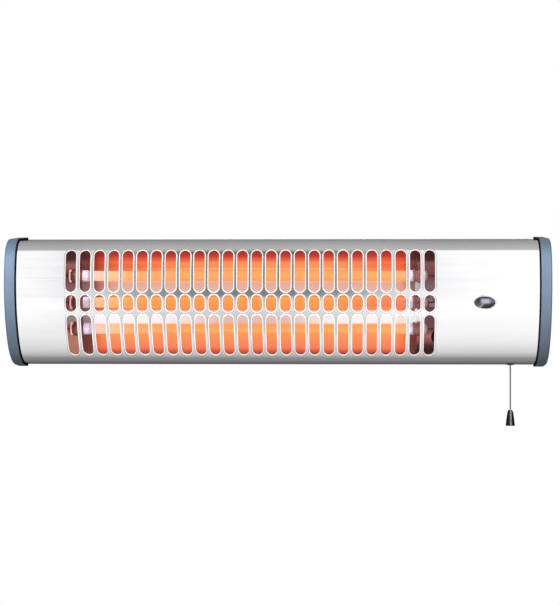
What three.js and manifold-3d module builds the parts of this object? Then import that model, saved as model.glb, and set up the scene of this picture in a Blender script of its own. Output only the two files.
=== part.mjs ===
import * as THREE from "three";
import { mergeVertices } from "three/addons/utils/BufferGeometryUtils.js";
import Module from "manifold-3d";

// Wall-mounted electric bar heater: a bowed, slotted stainless front between two moulded end caps,
// three quartz tubes in front of a reflector, a pull-cord switch, and a tilting wall bracket.
//
// Frame: X to the right as seen from the room, Y into the wall, Z up. The origin is the middle of the
// bracket's wall face. Depths are counted back from the foremost line of the bowed front, and heights
// inside the heater from the heater's own middle.

// ---- Driving dimensions, in millimetres and degrees ----

const overallWidth = 530; // over the two end caps
const bodyDepth = 76; // foremost line to the back edge of the casing
const wallGap = 26; // wall to the back edge of the casing
const bodyRise = 30; // heater's middle above the tilt axis
const fit = 0.3; // gap between pieces that touch

// Outline of the casing, seen from the end.
const frontRadius = 102;
const bowHeight = 17.8; // foremost line above the middle
const topTurn = 14.9; // where the front arc meets the top corner
const topRadius = 25;
const topSlope = 3.7;
const bottomTurn = 36; // where the front arc meets the bottom corner
const bottomRadius = 52;
const bottomSlope = 6;
const frontSteps = 5;
const topSteps = 5;
const bottomSteps = 4;

// End caps.
const capRim = 11; // width of the rim seen from the front
const capProud = 2.3; // rim above the steel
const capWall = 2.4;
const capShadow = 0.5; // gap between the rim and the steel
const capRound = 2.4; // rounding of the outer edge
const spigotLength = 8;
const spigotWall = 2;
const spigotShort = 18; // from the spigot's open side to the back edge
const bossRadius = 4.5;
const bossFromBack = 10;
const bossHeight = 38;

// Front cover.
const coverSheet = 0.8;
const coverLip = 10; // folded edge behind the back plate
const slotPitch = 13.9;
const slotWidth = 10;
const fieldLeft = 60.15; // left end of the heater to the slotted field
const fieldRight = 112.35; // right end of the heater to the slotted field
const slotTop = 50;
const slotBottom = -51.7;
const ovalTop = 6.7;
const ovalBottom = -9.4;
const rowGap = 3.2;
const slotReach = 40; // depth that the slots are cut to

// Back plate.
const plateSheet = 1;
const plateFlange = 9; // top and bottom flanges, inside the cover
const plateEndFlange = 14; // end flanges, which the caps are screwed to
const plateEndHeight = 90;

// Quartz tubes, their ends and the reflector, in a plane that leans forward at the top.
const tubeLean = 9;
const tubeDepth = 31;
const tubeHeight = -0.4;
const tubePitch = 26.3;
const tubeRadius = 5;
const tubeWall = 1;
const coilRadius = 3.3;
const coilTailRadius = 0.7;
const coilTail = 3; // bare tail outside the ceramic end
const coilMargin = 14; // support plate to the first turn
const supportAfterFirst = 4.85; // left support from the middle of the first column of slots
const supportBeforeLast = 11.95; // right support from the middle of the last column
const supportSheet = 1;
const supportFoot = 8;
const supportFront = -4; // edge of the support plate ahead of the tube plane
const supportBack = 17;
const supportReach = 46; // half height of the support plate
const supportStem = 20; // half height of the part that reaches the back plate
const stemLap = 10; // the stem starts this far behind the tubes
const ceramicRadius = 7;
const ceramicCollar = 8;
const ceramicGroove = 2.5;
const ceramicOuter = 10;
const ceramicRound = 1.3;
const ceramicGrooveDepth = 1;
const wireHole = 1.5; // radius
const reflectorSheet = 0.6;
const reflectorDepth = 12.5; // behind the tube plane
const reflectorHalf = 36;
const reflectorFlare = 43; // slant of the two sides
const reflectorClear = 2.2; // lips to the cover

// Indicator.
const indicatorFromEnd = 64.5;
const indicatorHeight = -0.5;
const lensHalfWidth = 10.2;
const lensHalfHeight = 6;
const lensRise = 2.6;
const lensNeck = 4;
const bezelWidth = 1;
const bezelRise = 0.9;
const lampRadius = 3;
const lampLength = 12;
const lampSetBack = 6;
const ovalSides = 20;

// Pull cord and switch.
const cordFromEnd = 35;
const cordFromBack = 15;
const cordRadius = 0.75;
const cordLength = 42; // free length, from the gland to the knob
const cordStart = 1; // below the gland
const cordJoint = 0.5; // gap to the inner length, which the free cord swings under
const knobLength = 16;
const knobTopRadius = 2.5;
const knobBottomRadius = 4.75;
const glandRadius = 4.6;
const glandRise = 1.7;
const glandNeck = 3;
const glandBore = 1.8;
const drumThrow = 8; // radius at the middle of the cord on the drum
const drumWidth = 5;
const drumFlange = 8.6;
const switchHeight = -33; // drum axis, from the heater's middle
const switchAhead = 13; // cord to the front of the case
const switchLeft = 14; // drum axis to the case's left side
const switchRight = 20;
const switchAbove = 15;
const switchBelow = 17;
const switchWall = 1.6;
const switchClear = 1; // between the drum, the cam and the walls of the case
const axleRadius = 2;
const camRadius = 7.5;
const camWidth = 4.5;
const leafSheet = 0.5;
const leafReach = 9; // half the length of a contact leaf
const springRadius = 4.6;
const springWire = 0.4; // radius
const springTurns = 4;
const springPitch = 1.3;

// Wiring.
const leadRadius = 1.1;
const leadSpacing = 6; // between the leads where they enter the switch
const leadSetBack = 3; // leads ahead of the cord, inside the switch
const leadStraight = 5; // straight end of a lead
const supplyAside = 6; // supply wire from the cord
const supplySetBack = 4;
const neutralRun = 14; // run behind the reflector, from the back edge
const neutralRise = 12; // run above the support's stem
const busRadius = 1.2;
const busOverlap = 4; // bus wire past the outer tubes
const blockSize = [30, 12.3, 14];
const blockGap = 14.3; // right support to the block
const blockHeight = 2;
const wellRadius = 2;
const wellDepth = 4;
const wellPitch = 9;
const earthRise = 26; // earth screw above the block
const earthLength = 4;
const cableGlandAside = 5; // gland to the left of the block's middle
const cableGlandHeight = -35;
const cableGlandRadius = 8;
const cableGlandNeck = 6;
const cableGlandBore = 3.6;

// Bracket, lugs, bolts and lock knobs.
const bracketInset = 63; // end of the heater to the outside of the cheek
const bracketHeight = 50;
const bracketSheet = 2;
const pivotOut = 14; // tilt axis from the wall
const cheekRadius = 10;
const lugRadius = 9;
const lugSheet = 2;
const lugFoot = 14;
const lugFootHeight = 28;
const boltRadius = 3;
const boltHead = 5;
const boltHeadLength = 4;
const lockKnobRadius = 10;
const lockKnobLength = 13;
const lockKnobLobes = 8;
const wallSlotInset = 52; // cheek to the wall slot
const wallSlotRadius = 3;
const wallSlotLength = 16;

// Screws.
const screwRadius = 1.6;
const screwHead = 3.6;
const screwHeadLength = 2;
const screwLength = 12;
const screwHole = 1.9;
const coverScrewInset = 93.5; // end of the cover to its screws
const coverScrewLength = 8;

// ---- Places that follow from them ----

const frontY = -(wallGap + bodyDepth);
const halfWidth = overallWidth / 2;
const capInner = halfWidth - capRim;
const coverHalf = capInner - capShadow;
const coverInset = capProud + coverSheet;
const plateOuter = bodyDepth - coverSheet - fit; // back face of the back plate
const plateInner = plateOuter - plateSheet;
const plateEnd = coverHalf - fit;
const cheekOuter = halfWidth - bracketInset;
const cheekInner = cheekOuter - bracketSheet;
const spigotDepth = bodyDepth - spigotShort;
const bossDepth = bodyDepth - bossFromBack;
const fieldWidth = overallWidth - fieldLeft - fieldRight;
const slotColumns = 1 + Math.round((fieldWidth - slotWidth) / slotPitch);
const slotCentre = (fieldLeft - fieldRight) / 2;
const columnX = (column) => slotCentre + (column - (slotColumns - 1) / 2) * slotPitch;
const supportLeft = columnX(0) + supportAfterFirst;
const supportRight = columnX(slotColumns - 1) - supportBeforeLast;
const indicatorX = halfWidth - indicatorFromEnd;
const cordX = halfWidth - cordFromEnd;
const cordDepth = bodyDepth - cordFromBack;
const switchFront = cordDepth - switchAhead;
const blockX = supportRight + blockGap + blockSize[0] / 2;
const cableGlandX = blockX - cableGlandAside;
const coverScrewX = coverHalf - coverScrewInset;
const wallSlotX = cheekOuter - wallSlotInset;

const degrees = THREE.MathUtils.degToRad;
const yAt = (depth) => frontY + depth;

// ---- Solids ----

const wasm = await Module();
wasm.setup();

// A closed surface with shared vertices and its faces turned out.
function closed(geometry) {
  const bare = new THREE.BufferGeometry();
  const source = geometry.index ? geometry.toNonIndexed() : geometry;
  bare.setAttribute("position", source.getAttribute("position"));
  const merged = mergeVertices(bare, 1e-4);
  const place = merged.getAttribute("position");
  const corners = merged.index.array;
  const [a, b, c] = [new THREE.Vector3(), new THREE.Vector3(), new THREE.Vector3()];
  const kept = [];
  let volume = 0;
  for (let i = 0; i < corners.length; i += 3) {
    const [p, q, r] = corners.subarray(i, i + 3);
    if (p === q || q === r || r === p) continue;
    kept.push(p, q, r);
    a.fromBufferAttribute(place, p);
    b.fromBufferAttribute(place, q);
    c.fromBufferAttribute(place, r);
    volume += a.dot(b.cross(c));
  }
  if (volume < 0) kept.reverse();
  merged.setIndex(kept);
  return merged;
}

function solid(geometry) {
  const tidy = closed(geometry);
  const mesh = new wasm.Mesh({
    numProp: 3,
    vertProperties: new Float32Array(tidy.getAttribute("position").array),
    triVerts: new Uint32Array(tidy.index.array),
  });
  return new wasm.Manifold(mesh);
}

function surface(manifold) {
  const mesh = manifold.getMesh();
  const geometry = new THREE.BufferGeometry();
  geometry.setAttribute("position", new THREE.BufferAttribute(mesh.vertProperties, 3));
  geometry.setIndex(new THREE.BufferAttribute(mesh.triVerts, 1));
  return geometry;
}

// Joins the first list of geometries and cuts the second list out of them.
function carve(parts, cuts = []) {
  const join = (list) => list.map(solid).reduce((whole, next) => whole.add(next));
  const body = join(parts);
  return surface(cuts.length ? body.subtract(join(cuts)) : body);
}

const mirrored = (geometry) => closed(geometry.clone().scale(-1, 1, 1));

const onSide = (side, geometry) => (side === "left" ? mirrored(geometry) : geometry);

// ---- Shapes ----

const alongX = new THREE.Matrix4().makeBasis(
  new THREE.Vector3(0, 1, 0),
  new THREE.Vector3(0, 0, 1),
  new THREE.Vector3(1, 0, 0),
);
const alongY = new THREE.Matrix4().makeBasis(
  new THREE.Vector3(0, 0, 1),
  new THREE.Vector3(1, 0, 0),
  new THREE.Vector3(0, 1, 0),
);

// A full circle in a shape gets twice as many sides as curveSegments.
const extrude = (shape, depth, curveSegments = 8) =>
  new THREE.ExtrudeGeometry(shape, { depth, bevelEnabled: false, curveSegments });

const shapeOf = (points) => new THREE.Shape(points.map(([u, v]) => new THREE.Vector2(u, v)));

// A plate with its outline in (y, z), from x0 to x1.
const plateX = (shape, x0, x1, curveSegments) =>
  extrude(shape, x1 - x0, curveSegments).applyMatrix4(alongX).translate(x0, 0, 0);

// A plate with its outline in (z, x), from y0 to y1.
const plateY = (shape, y0, y1, curveSegments) =>
  extrude(shape, y1 - y0, curveSegments).applyMatrix4(alongY).translate(0, y0, 0);

function box([x0, x1], [y0, y1], [z0, z1]) {
  const geometry = new THREE.BoxGeometry(x1 - x0, y1 - y0, z1 - z0);
  return geometry.translate((x0 + x1) / 2, (y0 + y1) / 2, (z0 + z1) / 2);
}

// A turned piece: profile points are [distance along the axis, radius].
function turned(profile, sides) {
  const points = profile.map(([along, radius]) => new THREE.Vector2(radius, along));
  return closed(new THREE.LatheGeometry(points, sides));
}

const turnedX = (profile, sides) => turned(profile, sides).rotateZ(-Math.PI / 2);
const turnedY = (profile, sides) => turned(profile, sides);
const turnedZ = (profile, sides) => turned(profile, sides).rotateX(Math.PI / 2);

const rod = (from, to, radius) => [[from, 0], [from, radius], [to, radius], [to, 0]];

function disc(y, z, radius) {
  const shape = new THREE.Shape();
  shape.absarc(y, z, radius, 0, 2 * Math.PI);
  return shape;
}

// An upright slot with round ends, as an outline in (z, x).
function stadium(x, low, high, radius) {
  const shape = new THREE.Shape();
  shape.absarc(high - radius, x, radius, -Math.PI / 2, Math.PI / 2);
  shape.absarc(low + radius, x, radius, Math.PI / 2, 1.5 * Math.PI);
  return shape;
}

function ellipse(halfWidth_, halfHeight_, height, steps) {
  const points = [];
  for (let i = 0; i < steps; i += 1) {
    const turn = (2 * Math.PI * i) / steps;
    points.push([halfWidth_ * Math.cos(turn), height, halfHeight_ * Math.sin(turn)]);
  }
  return points;
}

// A skin over rings of points, closed at both ends.
function loft(rings) {
  const count = rings[0].length;
  const position = [];
  const quad = (a, b, c, d) => position.push(...a, ...b, ...c, ...a, ...c, ...d);
  for (let k = 0; k + 1 < rings.length; k += 1) {
    for (let i = 0; i < count; i += 1) {
      const j = (i + 1) % count;
      quad(rings[k][i], rings[k][j], rings[k + 1][j], rings[k + 1][i]);
    }
  }
  const lid = (ring, flip) => {
    const flat = flatten(ring);
    for (const face of THREE.ShapeUtils.triangulateShape(flat, [])) {
      const order = flip ? face : [...face].reverse();
      for (const corner of order) position.push(...ring[corner]);
    }
  };
  const turnsLeft = !THREE.ShapeUtils.isClockWise(flatten(rings[0]));
  lid(rings[0], !turnsLeft);
  lid(rings[rings.length - 1], turnsLeft);
  const geometry = new THREE.BufferGeometry();
  geometry.setAttribute("position", new THREE.Float32BufferAttribute(position, 3));
  return closed(geometry);
}

// Drops the axis along which a flat ring of points stands still.
function flatten(ring) {
  const spread = [0, 1, 2].map((axis) => {
    const values = ring.map((point) => point[axis]);
    return Math.max(...values) - Math.min(...values);
  });
  const still = spread.indexOf(Math.min(...spread));
  const [u, v] = [(still + 1) % 3, (still + 2) % 3];
  return ring.map((point) => new THREE.Vector2(point[u], point[v]));
}

// A round tube along a curve.
function tube(path, radius, steps, sides) {
  const corners = [];
  for (let i = 0; i < sides; i += 1) {
    const turn = (2 * Math.PI * i) / sides;
    corners.push([radius * Math.cos(turn), radius * Math.sin(turn)]);
  }
  const options = { steps, extrudePath: path, bevelEnabled: false };
  return closed(new THREE.ExtrudeGeometry(shapeOf(corners), options));
}

// A round wire through the given points.
function wire(points, radius, steps, sides = 6) {
  const path = new THREE.CatmullRomCurve3(points.map((point) => new THREE.Vector3(...point)));
  path.curveType = "centripetal";
  return tube(path, radius, steps, sides);
}

// The casing's outline inset by some distance, from the top back corner round to the bottom one,
// as [depth, height] points.
function outline(inset, back = bodyDepth - inset) {
  const points = [];
  const arc = (centre, radius, from, to, steps) => {
    for (let i = 0; i <= steps; i += 1) {
      const turn = degrees(from + ((to - from) * i) / steps);
      points.push([centre[0] - radius * Math.cos(turn), centre[1] + radius * Math.sin(turn)]);
    }
  };
  const centreOf = (turn, radius) => [
    frontRadius - (frontRadius - radius) * Math.cos(degrees(turn)),
    bowHeight + (frontRadius - radius) * Math.sin(degrees(turn)),
  ];
  arc(centreOf(topTurn, topRadius), topRadius - inset, 90 - topSlope, topTurn, topSteps);
  points.pop();
  arc([frontRadius, bowHeight], frontRadius - inset, topTurn, -bottomTurn, frontSteps);
  points.pop();
  arc(
    centreOf(-bottomTurn, bottomRadius),
    bottomRadius - inset,
    -bottomTurn,
    bottomSlope - 90,
    bottomSteps,
  );
  const [first, last] = [points[0], points[points.length - 1]];
  const topBack = first[1] + (back - first[0]) * Math.tan(degrees(topSlope));
  const bottomBack = last[1] - (back - last[0]) * Math.tan(degrees(bottomSlope));
  return [[back, topBack], ...points, [back, bottomBack]];
}

const inY = (points) => points.map(([depth, height]) => [yAt(depth), height]);

// Height of the casing's underside at some depth.
function undersideAt(depth, inset) {
  const points = outline(inset);
  const [before, after] = [points[points.length - 2], points[points.length - 1]];
  const share = (depth - before[0]) / (after[0] - before[0]);
  return before[1] + share * (after[1] - before[1]);
}

// Depth of the bowed front at some height.
const frontAt = (height, inset) =>
  frontRadius - Math.sqrt((frontRadius - inset) ** 2 - (height - bowHeight) ** 2);

// A point of the leaning tube plane: distance behind it and distance up it, to [depth, height].
function leaning(behind, up) {
  const [c, s] = [Math.cos(degrees(tubeLean)), Math.sin(degrees(tubeLean))];
  return [tubeDepth + behind * c - up * s, tubeHeight + behind * s + up * c];
}

const tubes = { upper: 1, middle: 0, lower: -1 };
const tubeAt = (row) => leaning(0, tubes[row] * tubePitch);

// ---- Casing ----

function frontCover() {
  const outer = inY(outline(capProud, bodyDepth));
  const inner = inY(outline(coverInset, bodyDepth - coverSheet)).reverse();
  const back = yAt(bodyDepth);
  const lipTop = inner[inner.length - 1][1] - coverLip;
  const lipBottom = inner[0][1] + coverLip;
  const section = [
    ...outer,
    [back, lipBottom],
    [back - coverSheet, lipBottom],
    ...inner,
    [back - coverSheet, lipTop],
    [back, lipTop],
  ];
  const shell = plateX(shapeOf(section), -coverHalf, coverHalf);
  return carve([shell], [...frontSlots(), indicatorHole(), glandHole(), ...coverScrewHoles()]);
}

function frontSlots() {
  const rows = [
    [ovalTop + rowGap, slotTop],
    [ovalBottom, ovalTop],
    [slotBottom, ovalBottom - rowGap],
  ];
  const cuts = [];
  for (let column = 0; column < slotColumns; column += 1) {
    for (const [low, high] of rows) {
      const mouth = stadium(columnX(column), low, high, slotWidth / 2);
      cuts.push(plateY(mouth, yAt(-capProud), yAt(slotReach), 2));
    }
  }
  return cuts;
}

function coverScrewHoles() {
  return coverScrews().map(([x, height]) => {
    const hole = turnedY(rod(yAt(bodyDepth - plateFlange), yAt(bodyDepth + 1), screwHole), 12);
    return hole.translate(x, 0, height);
  });
}

// Screws through the cover's folded lips into the back plate.
function coverScrews() {
  const points = outline(coverInset, bodyDepth);
  const upper = points[0][1] - coverLip / 2;
  const lower = points[points.length - 1][1] + coverLip / 2;
  return [
    [-coverScrewX, upper],
    [-coverScrewX, lower],
    [coverScrewX, upper],
    [coverScrewX, lower],
  ];
}

function backPlate() {
  const front = plateOuter - plateFlange;
  const flangeInset = coverInset + fit;
  const blank = (inset, back) =>
    plateX(shapeOf(inY(outline(inset, back))), plateSheet - plateEnd, plateEnd - plateSheet);
  const ahead = box([-halfWidth, halfWidth], [yAt(-1), yAt(front)], [-bodyDepth, bodyDepth]);
  const hollow = solid(blank(flangeInset + plateSheet, plateInner)).add(solid(ahead));
  const channel = surface(solid(blank(flangeInset, plateOuter)).subtract(hollow));
  const halfEnd = plateEndHeight / 2;
  const ends = [-1, 1].map((side) => {
    const span = [side * plateEnd, side * (plateEnd - 1.5 * plateSheet)].sort((p, q) => p - q);
    return box(span, [yAt(plateOuter - plateEndFlange), yAt(plateOuter)], [-halfEnd, halfEnd]);
  });
  const endHoles = [-1, 1].flatMap((side) =>
    [-bossHeight, bossHeight].map((height) =>
      turnedX(rod(side * (plateEnd - 3 * plateSheet), side * (plateEnd + 1), screwHole), 12)
        .translate(0, yAt(bossDepth), height),
    ),
  );
  const entry = turnedY(rod(yAt(plateInner - 1), yAt(plateOuter + 1), cableGlandNeck + fit), 16);
  entry.translate(cableGlandX, 0, cableGlandHeight);
  return carve([channel, ...ends], [...coverScrewHoles(), ...endHoles, entry]);
}

// The right-hand cap: a hollow moulding with a spigot inside the cover and two screw bosses.
function endCap() {
  const ring = (x, inset) => inY(outline(inset)).map(([y, z]) => [x, y, z]);
  const roundSteps = 3;
  const rings = [ring(capInner, 0)];
  for (let i = 0; i <= roundSteps; i += 1) {
    const turn = ((Math.PI / 2) * i) / roundSteps;
    const x = halfWidth - capRound * (1 - Math.sin(turn));
    rings.push(ring(x, capRound * (1 - Math.cos(turn))));
  }
  const shell = loft(rings);
  const spigotInset = coverInset + fit;
  const spigot = loft([
    ring(capInner - spigotLength, spigotInset),
    ring(capInner + 1, spigotInset),
  ]);
  const behindSpigot = box(
    [capInner - spigotLength - 1, capInner],
    [yAt(spigotDepth), yAt(bodyDepth + 1)],
    [-bodyDepth, bodyDepth],
  );
  const pocket = loft([
    ring(capInner - spigotLength - 1, spigotInset + spigotWall),
    ring(halfWidth - capWall, spigotInset + spigotWall),
  ]);
  const bosses = [-bossHeight, bossHeight].map((height) => {
    const boss = turnedX(rod(plateEnd + fit, halfWidth - capWall + 0.5, bossRadius), 16);
    return boss.translate(0, yAt(bossDepth), height);
  });
  const holes = [-bossHeight, bossHeight].map((height) => {
    const seat = halfWidth - screwHeadLength - fit;
    const profile = [
      [plateEnd, 0],
      [plateEnd, screwHole],
      [seat, screwHole],
      [seat, screwHead + fit],
      [halfWidth + 1, screwHead + fit],
      [halfWidth + 1, 0],
    ];
    return turnedX(profile, 16).translate(0, yAt(bossDepth), height);
  });
  const joinAll = (list) => list.map(solid).reduce((whole, next) => whole.add(next));
  const hollow = joinAll([shell, spigot]).subtract(joinAll([behindSpigot, pocket]));
  return surface(hollow.add(joinAll(bosses)).subtract(joinAll(holes)));
}

// A pan-head screw with a cross recess: the head's underside is at 0 and the shank runs to -length.
function screw(length = screwLength) {
  const profile = [
    [-length, 0],
    [-length, screwRadius],
    [0, screwRadius],
    [0, screwHead],
    [screwHeadLength, screwHead * 0.7],
    [screwHeadLength, 0],
  ];
  const arm = screwHead * 0.5;
  const blade = 0.5;
  const recess = [
    box([-arm, arm], [screwHeadLength * 0.3, screwHeadLength + 1], [-blade, blade]),
    box([-blade, blade], [screwHeadLength * 0.3, screwHeadLength + 1], [-arm, arm]),
  ];
  return carve([turned(profile, 10)], recess);
}

// ---- Heating ----

// Each hole for a tube end is open at the front, so the ends drop in.
function supportPlate(x, footSide) {
  const corners = [
    leaning(supportFront, supportReach),
    leaning(supportFront, -supportReach),
    leaning(supportBack, -supportReach),
    leaning(supportBack, supportReach),
  ];
  const [x0, x1] = [x - supportSheet / 2, x + supportSheet / 2];
  const plate = plateX(shapeOf(inY(corners)), x0, x1);
  const back = plateInner - fit;
  const stem = box([x0, x1], [yAt(tubeDepth + stemLap), yAt(back)], [-supportStem, supportStem]);
  const footEnds = footSide > 0 ? [x0, x0 + supportFoot] : [x1 - supportFoot, x1];
  const foot = box(footEnds, [yAt(back - supportSheet), yAt(back)], [-supportStem, supportStem]);
  const radius = ceramicRadius - ceramicGrooveDepth + fit;
  const cuts = Object.keys(tubes).flatMap((row) => {
    const [depth, height] = tubeAt(row);
    const round = plateX(disc(yAt(depth), height, radius), x0 - 1, x1 + 1, 6);
    const up = tubes[row] * tubePitch;
    const mouth = [
      leaning(supportFront - 5, up + radius),
      leaning(supportFront - 5, up - radius),
      leaning(0, up - radius),
      leaning(0, up + radius),
    ];
    return [round, plateX(shapeOf(inY(mouth)), x0 - 1, x1 + 1)];
  });
  return carve([plate, stem, foot], cuts);
}

// A sheet folded along a line of [depth, height] points, of the given thickness behind it.
function folded(line, thickness) {
  const points = line.map(([u, v]) => new THREE.Vector2(u, v));
  const normals = points.slice(1).map((point, i) => {
    const run = point.clone().sub(points[i]).normalize();
    return new THREE.Vector2(-run.y, run.x);
  });
  const far = points.map((point, i) => {
    const before = normals[Math.max(i - 1, 0)];
    const after = normals[Math.min(i, normals.length - 1)];
    const mitre = before.clone().add(after).normalize();
    return point.clone().addScaledVector(mitre, thickness / mitre.dot(after));
  });
  return [...points, ...far.reverse()].map((point) => [point.x, point.y]);
}

// Where a ray from a [depth, height] point meets the casing's outline at some inset.
function reach(from, way, inset) {
  const line = outline(inset);
  let nearest = Infinity;
  for (let i = 0; i + 1 < line.length; i += 1) {
    const [p, q] = [line[i], line[i + 1]];
    const run = [q[0] - p[0], q[1] - p[1]];
    const across = way[0] * run[1] - way[1] * run[0];
    const gap = [p[0] - from[0], p[1] - from[1]];
    const along = (gap[0] * run[1] - gap[1] * run[0]) / across;
    const share = (gap[0] * way[1] - gap[1] * way[0]) / across;
    if (along > 0 && share >= 0 && share <= 1) nearest = Math.min(nearest, along);
  }
  return [from[0] + way[0] * nearest, from[1] + way[1] * nearest];
}

// A trough with a flat back parallel to the tubes and two flared sides that stop short of the cover.
function reflector() {
  const sides = [-1, 1].map((way) => {
    const corner = leaning(reflectorDepth, way * reflectorHalf);
    const [c, s] = [Math.cos(degrees(reflectorFlare)), Math.sin(degrees(reflectorFlare))];
    const far = leaning(reflectorDepth - c, way * (reflectorHalf + s));
    const lip = reach(corner, [far[0] - corner[0], far[1] - corner[1]], coverInset + reflectorClear);
    return [lip, corner];
  });
  const line = [...sides[0], ...sides[1].reverse()];
  const margin = supportSheet / 2 + fit;
  return plateX(
    shapeOf(inY(folded(line, -reflectorSheet))),
    supportLeft + margin,
    supportRight - margin,
  );
}

// Ends of the ceramic at one side, counted outwards from the support plate.
const ceramicEnd = ceramicGroove / 2 + ceramicOuter;
const ceramicMouth = -(ceramicGroove / 2 + ceramicCollar);

function ceramic() {
  const groove = ceramicGroove / 2;
  const bore = tubeRadius + fit;
  const profile = [
    [ceramicMouth, bore],
    [ceramicMouth, ceramicRadius - ceramicRound],
    [ceramicMouth + ceramicRound, ceramicRadius],
    [-groove, ceramicRadius],
    [-groove, ceramicRadius - ceramicGrooveDepth],
    [groove, ceramicRadius - ceramicGrooveDepth],
    [groove, ceramicRadius],
    [ceramicEnd - ceramicRound, ceramicRadius],
    [ceramicEnd, ceramicRadius - ceramicRound],
    [ceramicEnd, wireHole],
    [groove + fit, wireHole],
    [groove + fit, bore],
    [ceramicMouth, bore],
  ];
  return turnedX(profile, 12);
}

function quartzTube() {
  const [from, to] = [supportLeft, supportRight];
  const bore = tubeRadius - tubeWall;
  const profile = [
    [from, bore],
    [from, tubeRadius],
    [to, tubeRadius],
    [to, bore],
    [from, bore],
  ];
  return turnedX(profile, 16);
}

// Close-wound coil as its outer form, with the bare tails that leave through the ceramic ends.
function heatingCoil() {
  const tailEnd = ceramicEnd + coilTail;
  const [from, to] = [supportLeft + coilMargin, supportRight - coilMargin];
  return turnedX(
    [
      [supportLeft - tailEnd, 0],
      [supportLeft - tailEnd, coilTailRadius],
      [from, coilTailRadius],
      [from, coilRadius],
      [to, coilRadius],
      [to, coilTailRadius],
      [supportRight + tailEnd, coilTailRadius],
      [supportRight + tailEnd, 0],
    ],
    10,
  );
}

// ---- Wiring ----

const at = (x, [depth, height]) => [x, yAt(depth), height];
const tailX = {
  left: supportLeft - ceramicEnd - coilTail,
  right: supportRight + ceramicEnd + coilTail,
};
const busX = tailX.left - fit - busRadius;

function busWire() {
  const half = tubePitch + busOverlap;
  const ends = [leaning(0, half), leaning(0, -half)];
  return wire([at(busX, ends[0]), at(busX, ends[1])], busRadius, 1);
}

const caseTop = switchHeight + switchAbove;
const drumX = cordX - drumThrow;

// Each lead runs from a tube's right-hand tail to the top of the switch: at a share of the way across,
// its share of the way back and of the way down.
const leadRoutes = {
  upper: [[0.25, 0, 0], [0.65, 0.45, 0.2], [0.84, 0.92, 0.6]],
  middle: [[0.2, 0, 0], [0.62, 0.5, 0.1], [0.94, 0.95, 0.4]],
  lower: [[0.2, 0.05, 0.1], [0.6, 0.6, 1.1], [0.97, 0.93, 1.6]],
};

function leadWire(row) {
  const start = at(tailX.right + fit, tubeAt(row));
  const x = drumX - tubes[row] * leadSpacing;
  const end = [x, yAt(cordDepth - leadSetBack), caseTop + fit];
  const route = leadRoutes[row].map((shares) =>
    shares.map((share, axis) => start[axis] + share * (end[axis] - start[axis])),
  );
  const above = [x, end[1], end[2] + leadStraight];
  return wire([start, ...route, above, end], leadRadius, 16);
}

const blockBack = plateInner - fit;
const blockMiddle = blockBack - blockSize[1] / 2;

function terminalBlock() {
  const [x, y, z] = blockSize.map((size) => size / 2);
  const body = box([-x, x], [-y, y], [-z, z]);
  const wells = [-1, 0, 1].map((place) =>
    turnedY(rod(-y - 1, -y + wellDepth, wellRadius), 10).translate(place * wellPitch, 0, 0),
  );
  return carve([body], wells);
}

// From the terminal block to the switch.
function supplyWire() {
  const start = [blockX + blockSize[0] / 2 + fit, yAt(blockMiddle), blockHeight];
  const end = [cordX + supplyAside, yAt(cordDepth + supplySetBack), caseTop + fit];
  const route = [
    start,
    [start[0] + 4 * leadStraight, start[1], start[2]],
    [end[0] - supplyAside, end[1], start[2] - leadStraight],
    [end[0], end[1], end[2] + leadStraight],
    end,
  ];
  return wire(route, leadRadius, 12);
}

// From the terminal block behind the reflector to the bus wire at the left.
function neutralWire() {
  const start = [blockX - blockSize[0] / 2 - fit, yAt(blockMiddle), blockHeight];
  const end = at(busX - busRadius - fit, tubeAt("middle"));
  const run = yAt(bodyDepth - neutralRun);
  const rise = supportStem + neutralRise;
  const route = [
    start,
    [start[0] - leadStraight, start[1], start[2]],
    [start[0] - 1.6 * leadStraight, start[1], start[2] + neutralRise],
    [supportRight + 0.6 * leadStraight, run, rise - leadRadius],
    [supportRight - 6 * leadStraight, run, rise],
    [supportLeft + 6 * leadStraight, run, rise],
    [supportLeft - 2 * leadStraight, run, rise - leadRadius],
    [end[0] - 2 * leadStraight, end[1] + neutralRise, end[2] + neutralRise],
    [end[0] - 1.5 * leadStraight, end[1], end[2]],
    end,
  ];
  return wire(route, leadRadius, 36);
}

function cableGland() {
  const inside = -(plateSheet + fit + 3);
  const profile = [
    [inside, cableGlandBore],
    [inside, cableGlandRadius],
    [-(plateSheet + fit), cableGlandRadius],
    [-(plateSheet + fit), cableGlandNeck],
    [fit, cableGlandNeck],
    [fit, cableGlandRadius],
    [4, cableGlandRadius],
    [9, cableGlandNeck],
    [10, cableGlandBore + 1],
    [10, cableGlandBore],
    [inside, cableGlandBore],
  ];
  return turnedY(profile, 16);
}

// ---- Indicator ----

// Places a piece made about the indicator's own axis, which leans with the bowed front.
function onIndicator(geometry) {
  const lean = Math.asin((indicatorHeight - bowHeight) / (frontRadius - capProud));
  const depth = frontAt(indicatorHeight, capProud);
  return geometry.rotateX(-lean).translate(indicatorX, yAt(depth), indicatorHeight);
}

const lensHole = [lensHalfWidth - 0.6, lensHalfHeight - 0.6];

function indicatorHole() {
  const rings = [-lensNeck, lensNeck].map((height) => ellipse(...lensHole, height, ovalSides));
  return onIndicator(loft(rings));
}

function indicatorLens() {
  const [neckWidth, neckHeight] = lensHole.map((half) => half - fit);
  const rings = [
    ellipse(neckWidth, neckHeight, lensNeck, ovalSides),
    ellipse(neckWidth, neckHeight, -fit, ovalSides),
    ellipse(lensHalfWidth, lensHalfHeight, -fit, ovalSides),
  ];
  for (const turn of [30, 60, 80]) {
    const share = Math.cos(degrees(turn));
    const rise = fit + (lensRise - fit) * Math.sin(degrees(turn));
    rings.push(ellipse(lensHalfWidth * share, lensHalfHeight * share, -rise, ovalSides));
  }
  return onIndicator(loft(rings));
}

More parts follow.
